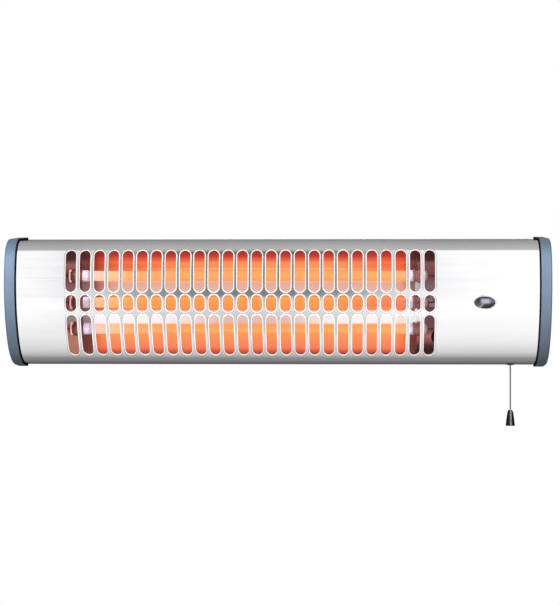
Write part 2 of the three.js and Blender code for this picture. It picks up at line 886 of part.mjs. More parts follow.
function indicatorBezel() {
  const wide = lensHalfWidth + fit;
  const high = lensHalfHeight + fit;
  const outer = loft([
    ellipse(wide + bezelWidth, high + bezelWidth, -fit, ovalSides),
    ellipse(wide + bezelWidth, high + bezelWidth, -bezelRise * 0.6, ovalSides),
    ellipse(wide + bezelWidth * 0.5, high + bezelWidth * 0.5, -bezelRise, ovalSides),
  ]);
  const inner = loft([ellipse(wide, high, 0, ovalSides), ellipse(wide, high, -bezelRise - 1, 20)]);
  return onIndicator(carve([outer], [inner]));
}

function neonLamp() {
  const from = lampSetBack;
  const to = from + lampLength;
  const profile = [
    [from, 0],
    [from + 0.8, lampRadius * 0.7],
    [from + 2.5, lampRadius],
    [to, lampRadius],
    [to, 0],
  ];
  return onIndicator(turnedY(profile, 12));
}

// ---- Pull cord and switch ----

const glandSeat = undersideAt(cordDepth, capProud);
const cordTop = glandSeat - fit - glandRise - cordStart;
const slopeTurn = degrees(bottomSlope);

// Places a piece made about the gland's axis, square to the sloping underside.
const onUnderside = (geometry) =>
  geometry.rotateX(-slopeTurn).translate(cordX, yAt(cordDepth), glandSeat);

const glandHole = () => onUnderside(turnedZ(rod(-3, 3, glandNeck + fit), 12));

function cordGland() {
  const profile = [
    [-fit - glandRise, glandBore],
    [-fit - glandRise, glandRadius - 1.6],
    [-fit - glandRise * 0.5, glandRadius - 0.4],
    [-fit, glandRadius],
    [-fit, glandNeck],
    [coverSheet + fit, glandNeck],
    [coverSheet + fit, glandRadius - 0.6],
    [coverSheet + fit + 1.6, glandRadius - 0.6],
    [coverSheet + fit + 1.6, glandBore],
    [-fit - glandRise, glandBore],
  ];
  return onUnderside(turnedZ(profile, 16));
}

const straightCord = (from, to, steps) =>
  wire([[cordX, yAt(cordDepth), from], [cordX, yAt(cordDepth), to]], cordRadius, steps, 8);

const innerCord = () => straightCord(switchHeight, cordTop + cordJoint, 1);
const pullCord = () => straightCord(cordTop, cordTop - cordLength, 12);

function pullKnob() {
  const top = cordTop - cordLength - fit;
  const profile = [
    [-knobLength, 0],
    [-knobLength, knobBottomRadius - 0.5],
    [-knobLength + 0.5, knobBottomRadius],
    [-0.8, knobTopRadius],
    [0, knobTopRadius - 0.8],
    [0, 0],
  ];
  return turnedZ(profile, 16).translate(cordX, yAt(cordDepth), top);
}

const caseX = [drumX - switchLeft, drumX + switchRight];
const caseZ = [switchHeight - switchBelow, caseTop];
const caseY = [yAt(switchFront), yAt(plateInner - fit)];
const drumFront = cordDepth - drumWidth / 2;
const camFront = cordDepth + drumWidth / 2 + switchClear;

function switchCase() {
  const outer = box(caseX, caseY, caseZ);
  const floor = yAt(camFront + camWidth + switchClear);
  const hollow = box(
    [caseX[0] + switchWall, caseX[1] - switchWall],
    [caseY[0] - 1, floor],
    [caseZ[0] + switchWall, caseZ[1] - switchWall],
  );
  const axle = turnedY(rod(caseY[0] + switchClear, floor + switchWall / 2, axleRadius), 12);
  axle.translate(drumX, 0, switchHeight);
  const cordHole = turnedZ(rod(caseZ[0] - 1, caseZ[0] + switchWall + 1, glandBore), 12);
  cordHole.translate(cordX, yAt(cordDepth), 0);
  const shell = solid(outer).subtract(solid(hollow)).add(solid(axle));
  return surface(shell.subtract(solid(cordHole)));
}

function switchCover() {
  const y1 = caseY[0] - fit;
  return box(caseX, [y1 - switchWall, y1], caseZ);
}

function switchDrum() {
  const groove = drumThrow - cordRadius - fit;
  const bore = axleRadius + fit;
  const [from, to] = [yAt(drumFront), yAt(drumFront + drumWidth)];
  const rim = 1;
  return turnedY(
    [
      [from, bore],
      [from, drumFlange],
      [from + rim, drumFlange],
      [from + rim, groove],
      [to - rim, groove],
      [to - rim, drumFlange],
      [to, drumFlange],
      [to, bore],
      [from, bore],
    ],
    20,
  ).translate(drumX, 0, switchHeight);
}

// Four lobes, one for each switch position.
function switchCam() {
  const shape = new THREE.Shape();
  const steps = 24;
  for (let i = 0; i < steps; i += 1) {
    const turn = (2 * Math.PI * i) / steps;
    const radius = camRadius - 0.8 * (1 - Math.cos(4 * turn));
    const [u, v] = [radius * Math.cos(turn), radius * Math.sin(turn)];
    if (i === 0) shape.moveTo(u, v);
    else shape.lineTo(u, v);
  }
  const bore = new THREE.Path();
  bore.absarc(0, 0, axleRadius + fit, 0, 2 * Math.PI, true);
  shape.holes.push(bore);
  const body = plateY(shape, yAt(camFront), yAt(camFront + camWidth), 12);
  return body.translate(drumX, 0, switchHeight);
}

class Helix extends THREE.Curve {
  getPoint(share) {
    const turn = share * springTurns * 2 * Math.PI;
    const along = share * springTurns * springPitch;
    return new THREE.Vector3(springRadius * Math.cos(turn), along, springRadius * Math.sin(turn));
  }
}

function returnSpring() {
  const start = drumFront - springTurns * springPitch - springWire - fit;
  const body = tube(new Helix(), springWire, springTurns * 8, 5);
  return body.translate(drumX, yAt(start), switchHeight);
}

const springGap = springPitch - 2 * springWire;
console.log(`return spring: least gap between turns ${springGap.toFixed(2)} mm`);

function contactLeaf(side) {
  const near = drumX + side * (camRadius + switchClear);
  const [from, to] = [near, near + side * leafSheet].sort((p, q) => p - q);
  return box(
    [from, to],
    [yAt(camFront + leafSheet), yAt(camFront + camWidth - leafSheet)],
    [switchHeight - leafReach, switchHeight + leafReach],
  );
}

// ---- Bracket and tilt ----

function pivotPlate(radius, back, x0, x1, height = 0) {
  const round = plateX(disc(-pivotOut, height, radius), x0, x1, 8);
  const ends = [-pivotOut, back].sort((p, q) => p - q);
  return [round, box([x0, x1], ends, [height - radius, height + radius])];
}

function wallBracket() {
  const half = cheekOuter;
  const plate = box([-half, half], [-bracketSheet, 0], [-bracketHeight / 2, bracketHeight / 2]);
  const cheeks = [
    ...pivotPlate(cheekRadius, 0, -half, -cheekInner),
    ...pivotPlate(cheekRadius, 0, cheekInner, half),
  ];
  const wallSlots = [-wallSlotX, wallSlotX].map((x) => {
    const shape = stadium(0, -wallSlotLength / 2, wallSlotLength / 2, wallSlotRadius);
    return plateY(shape, -bracketSheet - 1, 1, 3).translate(x, 0, 0);
  });
  const bore = turnedX(rod(-half - 1, half + 1, boltRadius + fit), 12).translate(0, -pivotOut, 0);
  return carve([plate, ...cheeks], [...wallSlots, bore]);
}

// The right-hand lug, on the back plate's outer face.
function pivotLug() {
  const x1 = cheekInner - fit;
  const x0 = x1 - lugSheet;
  const face = yAt(plateOuter) + fit;
  const foot = box(
    [x1 - lugFoot, x1],
    [face, face + lugSheet],
    [-bodyRise - lugFootHeight / 2, -bodyRise + lugFootHeight / 2],
  );
  const bore = plateX(disc(-pivotOut, -bodyRise, boltRadius + fit), x0 - 1, x1 + 1, 6);
  return carve([...pivotPlate(lugRadius, face, x0, x1, -bodyRise), foot], [bore]);
}

const lugInner = cheekInner - fit - lugSheet;
const boltEnd = cheekInner + bracketSheet + fit + lockKnobLength - 3;

function pivotBolt() {
  const seat = lugInner - fit;
  const profile = [
    [seat - boltHeadLength, 0],
    [seat - boltHeadLength, boltHead],
    [seat, boltHead],
    [seat, boltRadius],
    [boltEnd, boltRadius],
    [boltEnd, 0],
  ];
  return turnedX(profile, 12).translate(0, -pivotOut, 0);
}

function lockKnob() {
  const shape = new THREE.Shape();
  const steps = lockKnobLobes * 6;
  for (let i = 0; i < steps; i += 1) {
    const turn = (2 * Math.PI * i) / steps;
    const radius = lockKnobRadius - 0.6 * (1 - Math.cos(lockKnobLobes * turn));
    const [u, v] = [radius * Math.cos(turn), radius * Math.sin(turn)];
    if (i === 0) shape.moveTo(u, v);
    else shape.lineTo(u, v);
  }
  const from = cheekInner + bracketSheet + fit;
  const grip = plateX(shape, from, from + lockKnobLength);
  const bore = turnedX(rod(from - 1, boltEnd + fit, boltRadius + fit), 12);
  return carve([grip], [bore]).translate(0, -pivotOut, 0);
}

// ---- Materials ----

const finish = (color, roughness, metalness) => ({ color, roughness, metalness });
const finishes = {
  steel: finish(0xc9c9c6, 0.3, 1),
  zinc: finish(0xb4b8ba, 0.45, 1),
  paintedSteel: finish(0xd8dadb, 0.5, 0.2),
  reflector: finish(0xe6e3dd, 0.12, 1),
  cap: finish(0x7f95ad, 0.42, 0),
  quartz: finish(0xffb070, 0.1, 0),
  coil: finish(0xff7a2a, 0.6, 0.4),
  ceramic: finish(0xf4f0ea, 0.45, 0),
  wire: finish(0xc8452f, 0.5, 0),
  bareWire: finish(0xb9bcc0, 0.35, 1),
  whitePlastic: finish(0xe9e7e0, 0.5, 0),
  blackPlastic: finish(0x15161a, 0.25, 0),
  lens: finish(0x2a3038, 0.08, 0),
  lamp: finish(0xff8a3c, 0.2, 0),
  brass: finish(0xc9a45a, 0.3, 1),
  cord: finish(0x2b2d31, 0.8, 0),
};

function piece(name, geometry, kind, place = [0, 0, 0]) {
  const mesh = new THREE.Mesh(geometry, new THREE.MeshStandardMaterial(finishes[kind]));
  mesh.name = name;
  mesh.position.set(...place);
  return mesh;
}

// ---- Assembly ----

function bracketGroup() {
  const group = new THREE.Group();
  group.add(piece("wall_bracket", wallBracket(), "zinc"));
  for (const side of ["left", "right"]) {
    group.add(piece(`pivot_bolt_${side}`, onSide(side, pivotBolt()), "zinc"));
    group.add(piece(`tilt_knob_${side}`, onSide(side, lockKnob()), "blackPlastic"));
  }
  return group;
}

function casingGroup() {
  const group = new THREE.Group();
  group.add(piece("front_cover", frontCover(), "steel"));
  group.add(piece("back_plate", backPlate(), "zinc"));
  const capScrewSeat = halfWidth - screwHeadLength;
  for (const side of ["left", "right"]) {
    group.add(piece(`end_cap_${side}`, onSide(side, endCap()), "cap"));
    group.add(piece(`pivot_lug_${side}`, onSide(side, pivotLug()), "zinc"));
    const way = side === "left" ? -1 : 1;
    for (const [level, height] of [["upper", bossHeight], ["lower", -bossHeight]]) {
      const mesh = piece(`cap_screw_${side}_${level}`, screw(), "zinc");
      mesh.position.set(way * capScrewSeat, yAt(bossDepth), height);
      mesh.rotation.z = (-way * Math.PI) / 2;
      group.add(mesh);
    }
  }
  const names = ["left_upper", "left_lower", "right_upper", "right_lower"];
  coverScrews().forEach(([x, height], i) => {
    const place = [x, yAt(bodyDepth) + fit, height];
    group.add(piece(`cover_screw_${names[i]}`, screw(coverScrewLength), "zinc", place));
  });
  return group;
}

function heatingGroup() {
  const group = new THREE.Group();
  group.add(piece("reflector", reflector(), "reflector"));
  group.add(piece("tube_support_left", supportPlate(supportLeft, -1), "zinc"));
  group.add(piece("tube_support_right", supportPlate(supportRight, 1), "zinc"));
  for (const row of Object.keys(tubes)) {
    const [depth, height] = tubeAt(row);
    const place = [0, yAt(depth), height];
    group.add(piece(`quartz_tube_${row}`, quartzTube(), "quartz", place));
    group.add(piece(`heating_coil_${row}`, heatingCoil(), "coil", place));
    const left = [supportLeft, ...place.slice(1)];
    const right = [supportRight, ...place.slice(1)];
    group.add(piece(`ceramic_end_left_${row}`, mirrored(ceramic()), "ceramic", left));
    group.add(piece(`ceramic_end_right_${row}`, ceramic(), "ceramic", right));
    group.add(piece(`lead_wire_${row}`, leadWire(row), "wire"));
  }
  return group;
}

function wiringGroup() {
  const group = new THREE.Group();
  group.add(piece("bus_wire", busWire(), "bareWire"));
  group.add(piece("supply_wire", supplyWire(), "wire"));
  group.add(piece("neutral_wire", neutralWire(), "wire"));
  const block = [blockX, yAt(blockMiddle), blockHeight];
  group.add(piece("terminal_block", terminalBlock(), "whitePlastic", block));
  const gland = [cableGlandX, yAt(plateOuter), cableGlandHeight];
  group.add(piece("cable_gland", cableGland(), "blackPlastic", gland));
  const earth = piece("earth_screw", screw(earthLength), "brass");
  earth.position.set(blockX, yAt(plateInner - earthLength - fit), blockHeight + earthRise);
  earth.rotation.z = Math.PI;
  group.add(earth);
  return group;
}

function indicatorGroup() {
  const group = new THREE.Group();
  group.add(piece("indicator_bezel", indicatorBezel(), "blackPlastic"));
  group.add(piece("indicator_lens", indicatorLens(), "lens"));
  group.add(piece("neon_lamp", neonLamp(), "lamp"));
  return group;
}

function switchGroup() {
  const group = new THREE.Group();
  group.add(piece("switch_case", switchCase(), "whitePlastic"));
  group.add(piece("switch_cover", switchCover(), "whitePlastic"));
  group.add(piece("switch_drum", switchDrum(), "whitePlastic"));
  group.add(piece("switch_cam", switchCam(), "blackPlastic"));
  group.add(piece("return_spring", returnSpring(), "bareWire"));
  group.add(piece("contact_leaf_left", contactLeaf(-1), "brass"));
  group.add(piece("contact_leaf_right", contactLeaf(1), "brass"));
  group.add(piece("inner_cord", innerCord(), "cord"));
  group.add(piece("cord_gland", cordGland(), "blackPlastic"));
  group.add(piece("pull_cord", pullCord(), "cord"));
  group.add(piece("pull_knob", pullKnob(), "blackPlastic"));
  return group;
}

const heater = new THREE.Group();
heater.add(casingGroup(), heatingGroup(), wiringGroup(), indicatorGroup(), switchGroup());
heater.position.z = bodyRise;

const barHeater = new THREE.Group();
barHeater.add(bracketGroup(), heater);

export default barHeater;
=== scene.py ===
"""Wall mounted bar heater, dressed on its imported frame. Metres, +X right, +Y into the wall, +Z up."""

import math

import bmesh
import bpy
from mathutils import Matrix, Vector


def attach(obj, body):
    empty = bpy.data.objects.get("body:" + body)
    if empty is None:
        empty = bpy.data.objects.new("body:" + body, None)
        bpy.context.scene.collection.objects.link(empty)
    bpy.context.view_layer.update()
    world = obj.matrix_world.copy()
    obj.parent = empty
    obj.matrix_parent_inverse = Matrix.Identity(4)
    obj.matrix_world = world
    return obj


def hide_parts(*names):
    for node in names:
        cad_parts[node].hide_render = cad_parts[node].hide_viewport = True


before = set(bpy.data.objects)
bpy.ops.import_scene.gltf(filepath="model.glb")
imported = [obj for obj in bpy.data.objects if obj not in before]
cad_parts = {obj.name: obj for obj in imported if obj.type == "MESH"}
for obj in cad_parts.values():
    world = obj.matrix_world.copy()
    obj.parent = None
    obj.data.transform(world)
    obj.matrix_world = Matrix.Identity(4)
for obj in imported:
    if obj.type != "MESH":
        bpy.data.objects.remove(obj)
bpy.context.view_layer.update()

MM = 0.001
FRONT = -102.0  # mm, foremost plane of the end caps
RISE = 30.0  # mm, middle of the heater above the bracket's axis

# -------- camera

camera = bpy.data.objects.new("camera", bpy.data.cameras.new("camera"))
bpy.context.scene.collection.objects.link(camera)
camera.location = (0.070, -1.802, 0.030)
aim = Vector((0.0035, -0.102, 0.0295)) - camera.location
camera.rotation_mode = "QUATERNION"
camera.rotation_quaternion = aim.to_track_quat("-Z", "Y")
camera.data.lens = 105.05
camera.data.sensor_width = 36
camera.data.clip_start = 0.05
bpy.context.scene.camera = camera
bpy.context.scene.view_settings.view_transform = "Standard"

# -------- node helpers


class Nodes:
    """A short way to write a node tree."""

    def __init__(self, tree):
        self.tree = tree
        tree.nodes.clear()

    def add(self, kind, ins=None, **props):
        node = self.tree.nodes.new(kind)
        for key, value in props.items():
            setattr(node, key, value)
        for key, value in (ins or {}).items():
            self.put(node.inputs[key], value)
        return node

    def put(self, socket, value):
        if isinstance(value, bpy.types.NodeSocket):
            self.tree.links.new(value, socket)
        elif socket.type == "RGBA" and len(value) == 3:
            socket.default_value = (*value, 1)
        else:
            socket.default_value = value

    def math(self, operation, a, b=0.0):
        return self.add("ShaderNodeMath", {0: a, 1: b}, operation=operation).outputs[0]

    def times(self, a, b):
        return self.math("MULTIPLY", a, b)

    def away(self, value, middle):
        """How far a value lies from another, to either side."""
        return self.math("ABSOLUTE", self.math("SUBTRACT", value, middle))

    def ramp(self, value, stops):
        node = self.add("ShaderNodeValToRGB", {0: value})
        elements = node.color_ramp.elements
        while len(elements) < len(stops):
            elements.new(0.5)
        for element, (place, colour) in zip(elements, stops):
            element.position = place
            grey = isinstance(colour, (int, float))
            element.color = (colour, colour, colour, 1) if grey else (*colour, 1)
        return node.outputs[0]

    def blend(self, value, first, second, low=0.3, high=0.7):
        """A ramp of two tones."""
        return self.ramp(value, [(low, first), (high, second)])

    def mix(self, share, a, b, how="MIX"):
        node = self.add("ShaderNodeMix", data_type="RGBA", blend_type=how)
        self.put(node.inputs[0], share)
        self.put(node.inputs[6], a)
        self.put(node.inputs[7], b)
        return node.outputs[2]

    def tint(self, a, b):
        return self.mix(1.0, a, b, "MULTIPLY")

    def place(self, scale=(1, 1, 1)):
        """Object coordinates, in metres, times scale."""
        coord = self.add("ShaderNodeTexCoord").outputs["Object"]
        return self.add("ShaderNodeMapping", {"Vector": coord, "Scale": scale}).outputs[0]

    def axes(self):
        """x, y and z in metres."""
        coord = self.add("ShaderNodeTexCoord").outputs["Object"]
        return self.add("ShaderNodeSeparateXYZ", {0: coord}).outputs

    def noise(self, scale, detail=3.0, stretch=(1, 1, 1), roughness=0.5):
        ins = {"Vector": self.place(stretch), "Scale": scale, "Detail": detail, "Roughness": roughness}
        return self.add("ShaderNodeTexNoise", ins).outputs[0]

    def bump(self, height, strength, distance=0.0001):
        ins = {"Height": height, "Strength": strength, "Distance": distance}
        return self.add("ShaderNodeBump", ins).outputs[0]

    def range(self, value, low, high, to_low=0.0, to_high=1.0):
        ins = {0: value, 1: low, 2: high, 3: to_low, 4: to_high}
        return self.add("ShaderNodeMapRange", ins).outputs[0]


class Shader:
    """A material's shader. Its sockets are set by name, to a constant or to another node's output."""

    def __init__(self, nodes):
        self.nodes = nodes
        self.node = nodes.add("ShaderNodeBsdfPrincipled")

    def __setitem__(self, socket, value):
        self.nodes.put(self.node.inputs[socket], value)

    def shine(self, colour, strength):
        self["Emission Color"] = colour
        self["Emission Strength"] = strength


def material(name, build):
    """A material whose nodes build(nodes, shader) makes."""
    made = bpy.data.materials.new(name)
    made.use_nodes = True
    nodes = Nodes(made.node_tree)
    shader = Shader(nodes)
    build(nodes, shader)
    nodes.add("ShaderNodeOutputMaterial", {0: shader.node.outputs[0]})
    return made


def link(made):
    bpy.context.scene.collection.objects.link(made)
    return made


# -------- light

world = bpy.data.worlds.new("studio")
world.use_nodes = True
bpy.context.scene.world = world
sky = Nodes(world.node_tree)
direction = sky.add("ShaderNodeTexCoord").outputs["Generated"]
axes = sky.add("ShaderNodeSeparateXYZ", {0: direction}).outputs
# Angle round the X axis, 0 at the viewer's side and positive upwards, as a share of a turn.
angle = sky.math("ARCTAN2", axes[2], sky.times(axes[1], -1.0))
turn = sky.range(angle, -math.pi, math.pi)
tent = sky.ramp(
    turn,
    [(0.0, 0.10), (0.06, 0.15), (0.108, 0.25), (0.155, 0.33), (0.18, 0.52), (0.222, 0.76), (0.284, 0.95),
     (0.348, 1.15), (0.42, 1.30), (0.683, 1.30), (0.695, 0.58), (0.80, 0.47), (0.95, 0.32), (1.0, 0.20)],
)
# The studio is darker to both sides, with a soft dark place where the viewer stands.
to_side = sky.math("ABSOLUTE", axes[0])
sides = sky.ramp(to_side, [(0.0, 1.0), (0.50, 0.86), (0.80, 0.70), (0.90, 0.18), (1.0, 0.14)])
across = sky.range(axes[0], -0.25, 0.15)
viewer = sky.times(
    sky.ramp(across, [(0.235, 0.0), (0.325, 1.0), (0.66, 1.0), (0.70, 0.0)]),
    sky.ramp(
        turn,
        [(0.325, 0.0), (0.345, 0.42), (0.41, 0.42), (0.43, 0.26), (0.448, 0.30), (0.462, 0.88), (0.66, 0.97),
         (0.69, 0.60), (0.70, 0.0)],
    ),
)
tent = sky.tint(tent, sides)
tent = sky.mix(viewer, tent, (0.05, 0.05, 0.053))
path = sky.add("ShaderNodeLightPath").outputs
dimmed = sky.tint(tent, (0.24, 0.24, 0.24))
tent = sky.mix(path["Is Diffuse Ray"], tent, dimmed)
tone = sky.mix(path["Is Camera Ray"], tent, (1.0, 1.0, 1.0))
background = sky.add("ShaderNodeBackground", {"Color": tone, "Strength": 1.0})
sky.put(sky.add("ShaderNodeOutputWorld").inputs[0], background.outputs[0])


def softbox(name, place, aim_at, size, power, tint=(1, 1, 1), glossy=True):
    light = bpy.data.lights.new(name, "AREA")
    light.shape = "RECTANGLE"
    light.size, light.size_y = size
    light.energy = power
    light.color = tint
    lamp = bpy.data.objects.new(name, light)
    lamp.location = place
    lamp.rotation_mode = "QUATERNION"
    lamp.rotation_quaternion = (Vector(aim_at) - Vector(place)).to_track_quat("-Z", "Y")
    lamp.visible_glossy = glossy
    return link(lamp)


softbox("key_light", (-0.75, -1.9, 0.85), (0, -0.05, 0.03), (1.1, 0.6), 66, glossy=False)
softbox("fill_light", (1.3, -1.6, 0.75), (0, -0.05, 0.03), (0.8, 0.6), 22, (1.0, 0.90, 0.84), glossy=False)
back_light = softbox("back_light", (0.2, 2.2, 0.03), (0, 0, 0.03), (2.6, 0.45), 9)
back_light.visible_camera = False


def pale_floor(n, s):
    grain = n.noise(6.0, 2.0)
    s["Base Color"] = n.blend(grain, 0.80, 0.84)
    s["Roughness"] = 0.9
    shown = n.add("ShaderNodeLightPath").outputs["Is Camera Ray"]
    s.shine((1, 1, 1), n.times(shown, 0.55))


FLOOR, FLOOR_REACH = -1.3, 4.0
floor_mesh = bpy.data.meshes.new("floor")
corners = [(x * FLOOR_REACH, y * FLOOR_REACH, FLOOR) for x, y in ((-1, -1), (1, -1), (1, 1), (-1, 1))]
floor_mesh.from_pydata(corners, [], [(0, 1, 2, 3)])
floor = bpy.data.objects.new("floor", floor_mesh)
floor.visible_glossy = False
floor_mesh.materials.append(material("pale_floor", pale_floor))
link(floor)

# -------- mesh helpers


def piece(name, verts, faces, paint, body="heater", nodes=(), slot=None, sharp=None, normals=None):
    """A mesh piece from points in mm. sharp is the angle in degrees over which an edge stays crisp."""
    mesh = bpy.data.meshes.new(name)
    mesh.from_pydata([[c * MM for c in v] for v in verts], [], faces)
    mesh.validate()
    shape = bmesh.new()
    shape.from_mesh(mesh)
    if normals is None:
        bmesh.ops.remove_doubles(shape, verts=shape.verts, dist=1e-6)
        bmesh.ops.recalc_face_normals(shape, faces=shape.faces)
    shape.to_mesh(mesh)
    shape.free()
    mesh.shade_smooth()
    if sharp is not None:
        mesh.set_sharp_from_angle(angle=math.radians(sharp))
    if normals is not None:
        mesh.normals_split_custom_set_from_vertices(normals)
    mesh.materials.append(paint)
    made = link(bpy.data.objects.new(name, mesh))
    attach(made, body)
    if nodes:
        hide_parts(*nodes)
    return made


def at(x, depth, height):
    """A point of the heater from its x, its depth behind the front and its height, in mm."""
    return (x, FRONT + depth, RISE + height)


def bridge(rings, wrap=False, ends=False):
    """Quads between rings of equal length, counted from point 0. wrap joins the last ring to the first,
    ends puts a face on each of those two."""
    faces = []
    count, size = len(rings), len(rings[0])
    for i in range(count if wrap else count - 1):
        a, b = i * size, ((i + 1) % count) * size
        for j in range(size):
            k = (j + 1) % size
            faces.append((a + j, a + k, b + k, b + j))
    if ends:
        faces += [tuple(range(size)), tuple(range((count - 1) * size, count * size))]
    return faces


def flat(rings):
    return [p for ring in rings for p in ring]


def circle(steps, shift=0.0):
    """Angles round a full turn."""
    return [2 * math.pi * (i + shift) / steps for i in range(steps)]


def towards(axis):
    """The turn that takes +Z to an axis."""
    return Vector(axis).normalized().to_track_quat("Z", "Y").to_matrix()


def turned(name, profile, origin, axis, paint, body="heater", steps=48, close=False, **more):
    """A lathe piece, from a profile of (radius, along) about an axis through origin, in mm."""
    spin, start = towards(axis), Vector(origin)
    rings = []
    for radius, along in profile:
        spokes = [(radius * math.cos(t), radius * math.sin(t), along) for t in circle(steps)]
        rings.append([tuple(start + spin @ Vector(p)) for p in spokes])
    return piece(name, flat(rings), bridge(rings, wrap=close), paint, body, **more)


def carve(made, tool):
    """Cuts the shape of a bmesh out of a piece."""
    mesh = bpy.data.meshes.new("cutter")
    tool.to_mesh(mesh)
    tool.free()
    cutter = link(bpy.data.objects.new("cutter", mesh))
    cut = made.modifiers.new("cut", "BOOLEAN")
    cut.operation = "DIFFERENCE"
    cut.solver = "EXACT"
    cut.object = cutter
    graph = bpy.context.evaluated_depsgraph_get()
    graph.update()
    mesh = bpy.data.meshes.new_from_object(made.evaluated_get(graph))
    made.modifiers.clear()
    made.data = mesh
    bpy.data.objects.remove(cutter)


# -------- outline of the body

DEPTH = 76.0
TOP_END, TOP_TURN, BOTTOM_TURN, BOTTOM_END = 86.3, 14.9, -36.0, -84.0  # angles where the arcs meet, in degrees
TOP, FACE, BOTTOM = [  # middle (depth, height) and radius
    ((27.59, 37.60), 25.0),
    ((102.0, 17.80), 102.0),
    ((61.55, -11.59), 52.0),
]


def on_arc(arc, angle_deg, inset):
    """(depth, height, outward depth, outward height) at an angle of an arc, inset from the outline."""
    (d, h), radius = arc[0], arc[1] - inset
    a = math.radians(angle_deg)
    nd, nh = -math.cos(a), math.sin(a)
    return d + radius * nd, h + radius * nh, nd, nh


def skin(height, inset):
    """The same, at a height between the top and bottom corners."""
    arc = FACE
    if height > on_arc(TOP, TOP_TURN, inset)[1]:
        arc = TOP
    elif height < on_arc(FACE, BOTTOM_TURN, inset)[1]:
        arc = BOTTOM
    (_, h), radius = arc[0], arc[1] - inset
    return on_arc(arc, math.degrees(math.asin((height - h) / radius)), inset)


def slope(arc, angle_deg, inset, depth):
    """A point of the straight run from an arc's end to the back, at a depth."""
    d, h, nd, nh = on_arc(arc, angle_deg, inset)
    return depth, h - (depth - d) * nd / nh, nd, nh


def last_arc(top):
    """The arc next to the back, and the angle where it ends."""
    return (TOP, TOP_END) if top else (BOTTOM, BOTTOM_END)


def back_corner(top, inset, radius, back, steps=6):
    """The bend between a straight run and the back plane, from the run to the back."""
    _, h, nd, nh = slope(*last_arc(top), inset + radius, back - radius)
    start = math.atan2(nh, nd)
    bend = []
    for i in range(steps + 1):
        t = start - start * i / steps
        cd, ch = math.cos(t), math.sin(t)
        bend.append((back - radius + radius * cd, h + radius * ch, cd, ch))
    return bend


# -------- materials


def steel(n, s):
    """Bright rolled steel, with a very fine grain along the heater and faint uneven polish."""
    streak = n.noise(1.0, 4.0, (6, 900, 900), 0.6)
    cloud = n.noise(1.0, 3.0, (9, 30, 30))
    tone = n.blend(cloud, (0.80, 0.80, 0.815), (0.86, 0.86, 0.87))
    s["Base Color"] = tone
    s["Roughness"] = n.range(streak, 0.2, 0.8, 0.08, 0.15)
    s["Metallic"] = 1.0
    s["Normal"] = n.bump(streak, 0.05)


def lit_edge(n, s):
    """The crest of a rolled slot edge, with the light of the tubes painted on as emission."""
    wave = n.noise(1.0, 2.0, (60, 20, 60))
    s["Base Color"] = (0.82, 0.80, 0.80)
    s["Roughness"] = n.range(wave, 0.3, 0.7, 0.20, 0.30)
    s["Metallic"] = 1.0
    s.shine(n.blend(wave, (0.42, 0.34, 0.33), (0.54, 0.48, 0.47), 0.35, 0.65), 1.0)


def spangle(n):
    """Grey flakes of zinc plating, each a little lighter or darker than the next."""
    cells = n.add("ShaderNodeTexVoronoi", {"Vector": n.place(), "Scale": 210.0}).outputs[1]
    grey = n.add("ShaderNodeRGBToBW", {0: cells}).outputs[0]
    return n.blend(grey, (0.53, 0.54, 0.55), (0.66, 0.67, 0.68), 0.1, 0.9)


def zinc(n, s):
    """Zinc plated sheet, with soft spangles."""
    fine = n.noise(900.0)
    s["Base Color"] = spangle(n)
    s["Roughness"] = n.range(fine, 0.2, 0.8, 0.32, 0.48)
    s["Metallic"] = 1.0
    s["Normal"] = n.bump(fine, 0.08)


def bright_metal(dark, light, low, high, scale):
    """Turned, plated or rolled metal between two tones and two roughnesses."""

    def build(n, s):
        fine = n.noise(scale)
        s["Base Color"] = n.blend(fine, dark, light)
        s["Roughness"] = n.range(fine, 0.2, 0.8, low, high)
        s["Metallic"] = 1.0

    return build


def moulded(colour, rough=0.42, grain=0.12):
    """Moulded plastic with a fine matt texture."""

    def build(n, s):
        fine = n.noise(2600.0, 2.0)
        broad = n.noise(40.0, 2.0)
        dark = tuple(c * 0.9 for c in colour)
        s["Base Color"] = n.blend(broad, dark, colour, 0.35, 0.65)
        s["Roughness"] = n.range(fine, 0.3, 0.7, rough - 0.05, rough + 0.06)
        s["Normal"] = n.bump(fine, grain, 0.00005)
        s["Specular IOR Level"] = 0.5

    return build


RIM_X = 0.2545  # metres; the spigot lies inwards of it


def cap_plastic(n, s):
    """Blue grey moulded plastic with a satin skin, with painted shade by height and a painted shadow, near
    black, on the spigot inside the cover.
    """
    fine = n.noise(2600.0, 2.0)
    broad = n.noise(40.0, 2.0)
    x, _, z = n.axes()
    x = n.math("ABSOLUTE", x)
    blue = n.blend(broad, (0.110, 0.160, 0.230), (0.124, 0.178, 0.255), 0.35, 0.65)
    # Painted shade by height: darker low and at the very top.
    shade = n.ramp(
        n.range(z, -0.034, 0.096),
        [(0.0, 0.34), (0.08, 0.46), (0.17, 0.55), (0.28, 0.66), (0.50, 0.88), (0.72, 1.06), (0.84, 1.08),
         (0.92, 0.76), (1.0, 0.60)],
    )
    blue = n.tint(blue, shade)
    # Painted shadow: the spigot inside the cover is near black and has no sheen.
    rim = n.math("GREATER_THAN", x, RIM_X)
    s["Base Color"] = n.mix(rim, (0.012, 0.016, 0.022), blue)
    s["Roughness"] = n.range(fine, 0.3, 0.7, 0.34, 0.44)
    s["Normal"] = n.bump(fine, 0.10, 0.00005)
    s["Specular IOR Level"] = n.times(rim, 0.6)


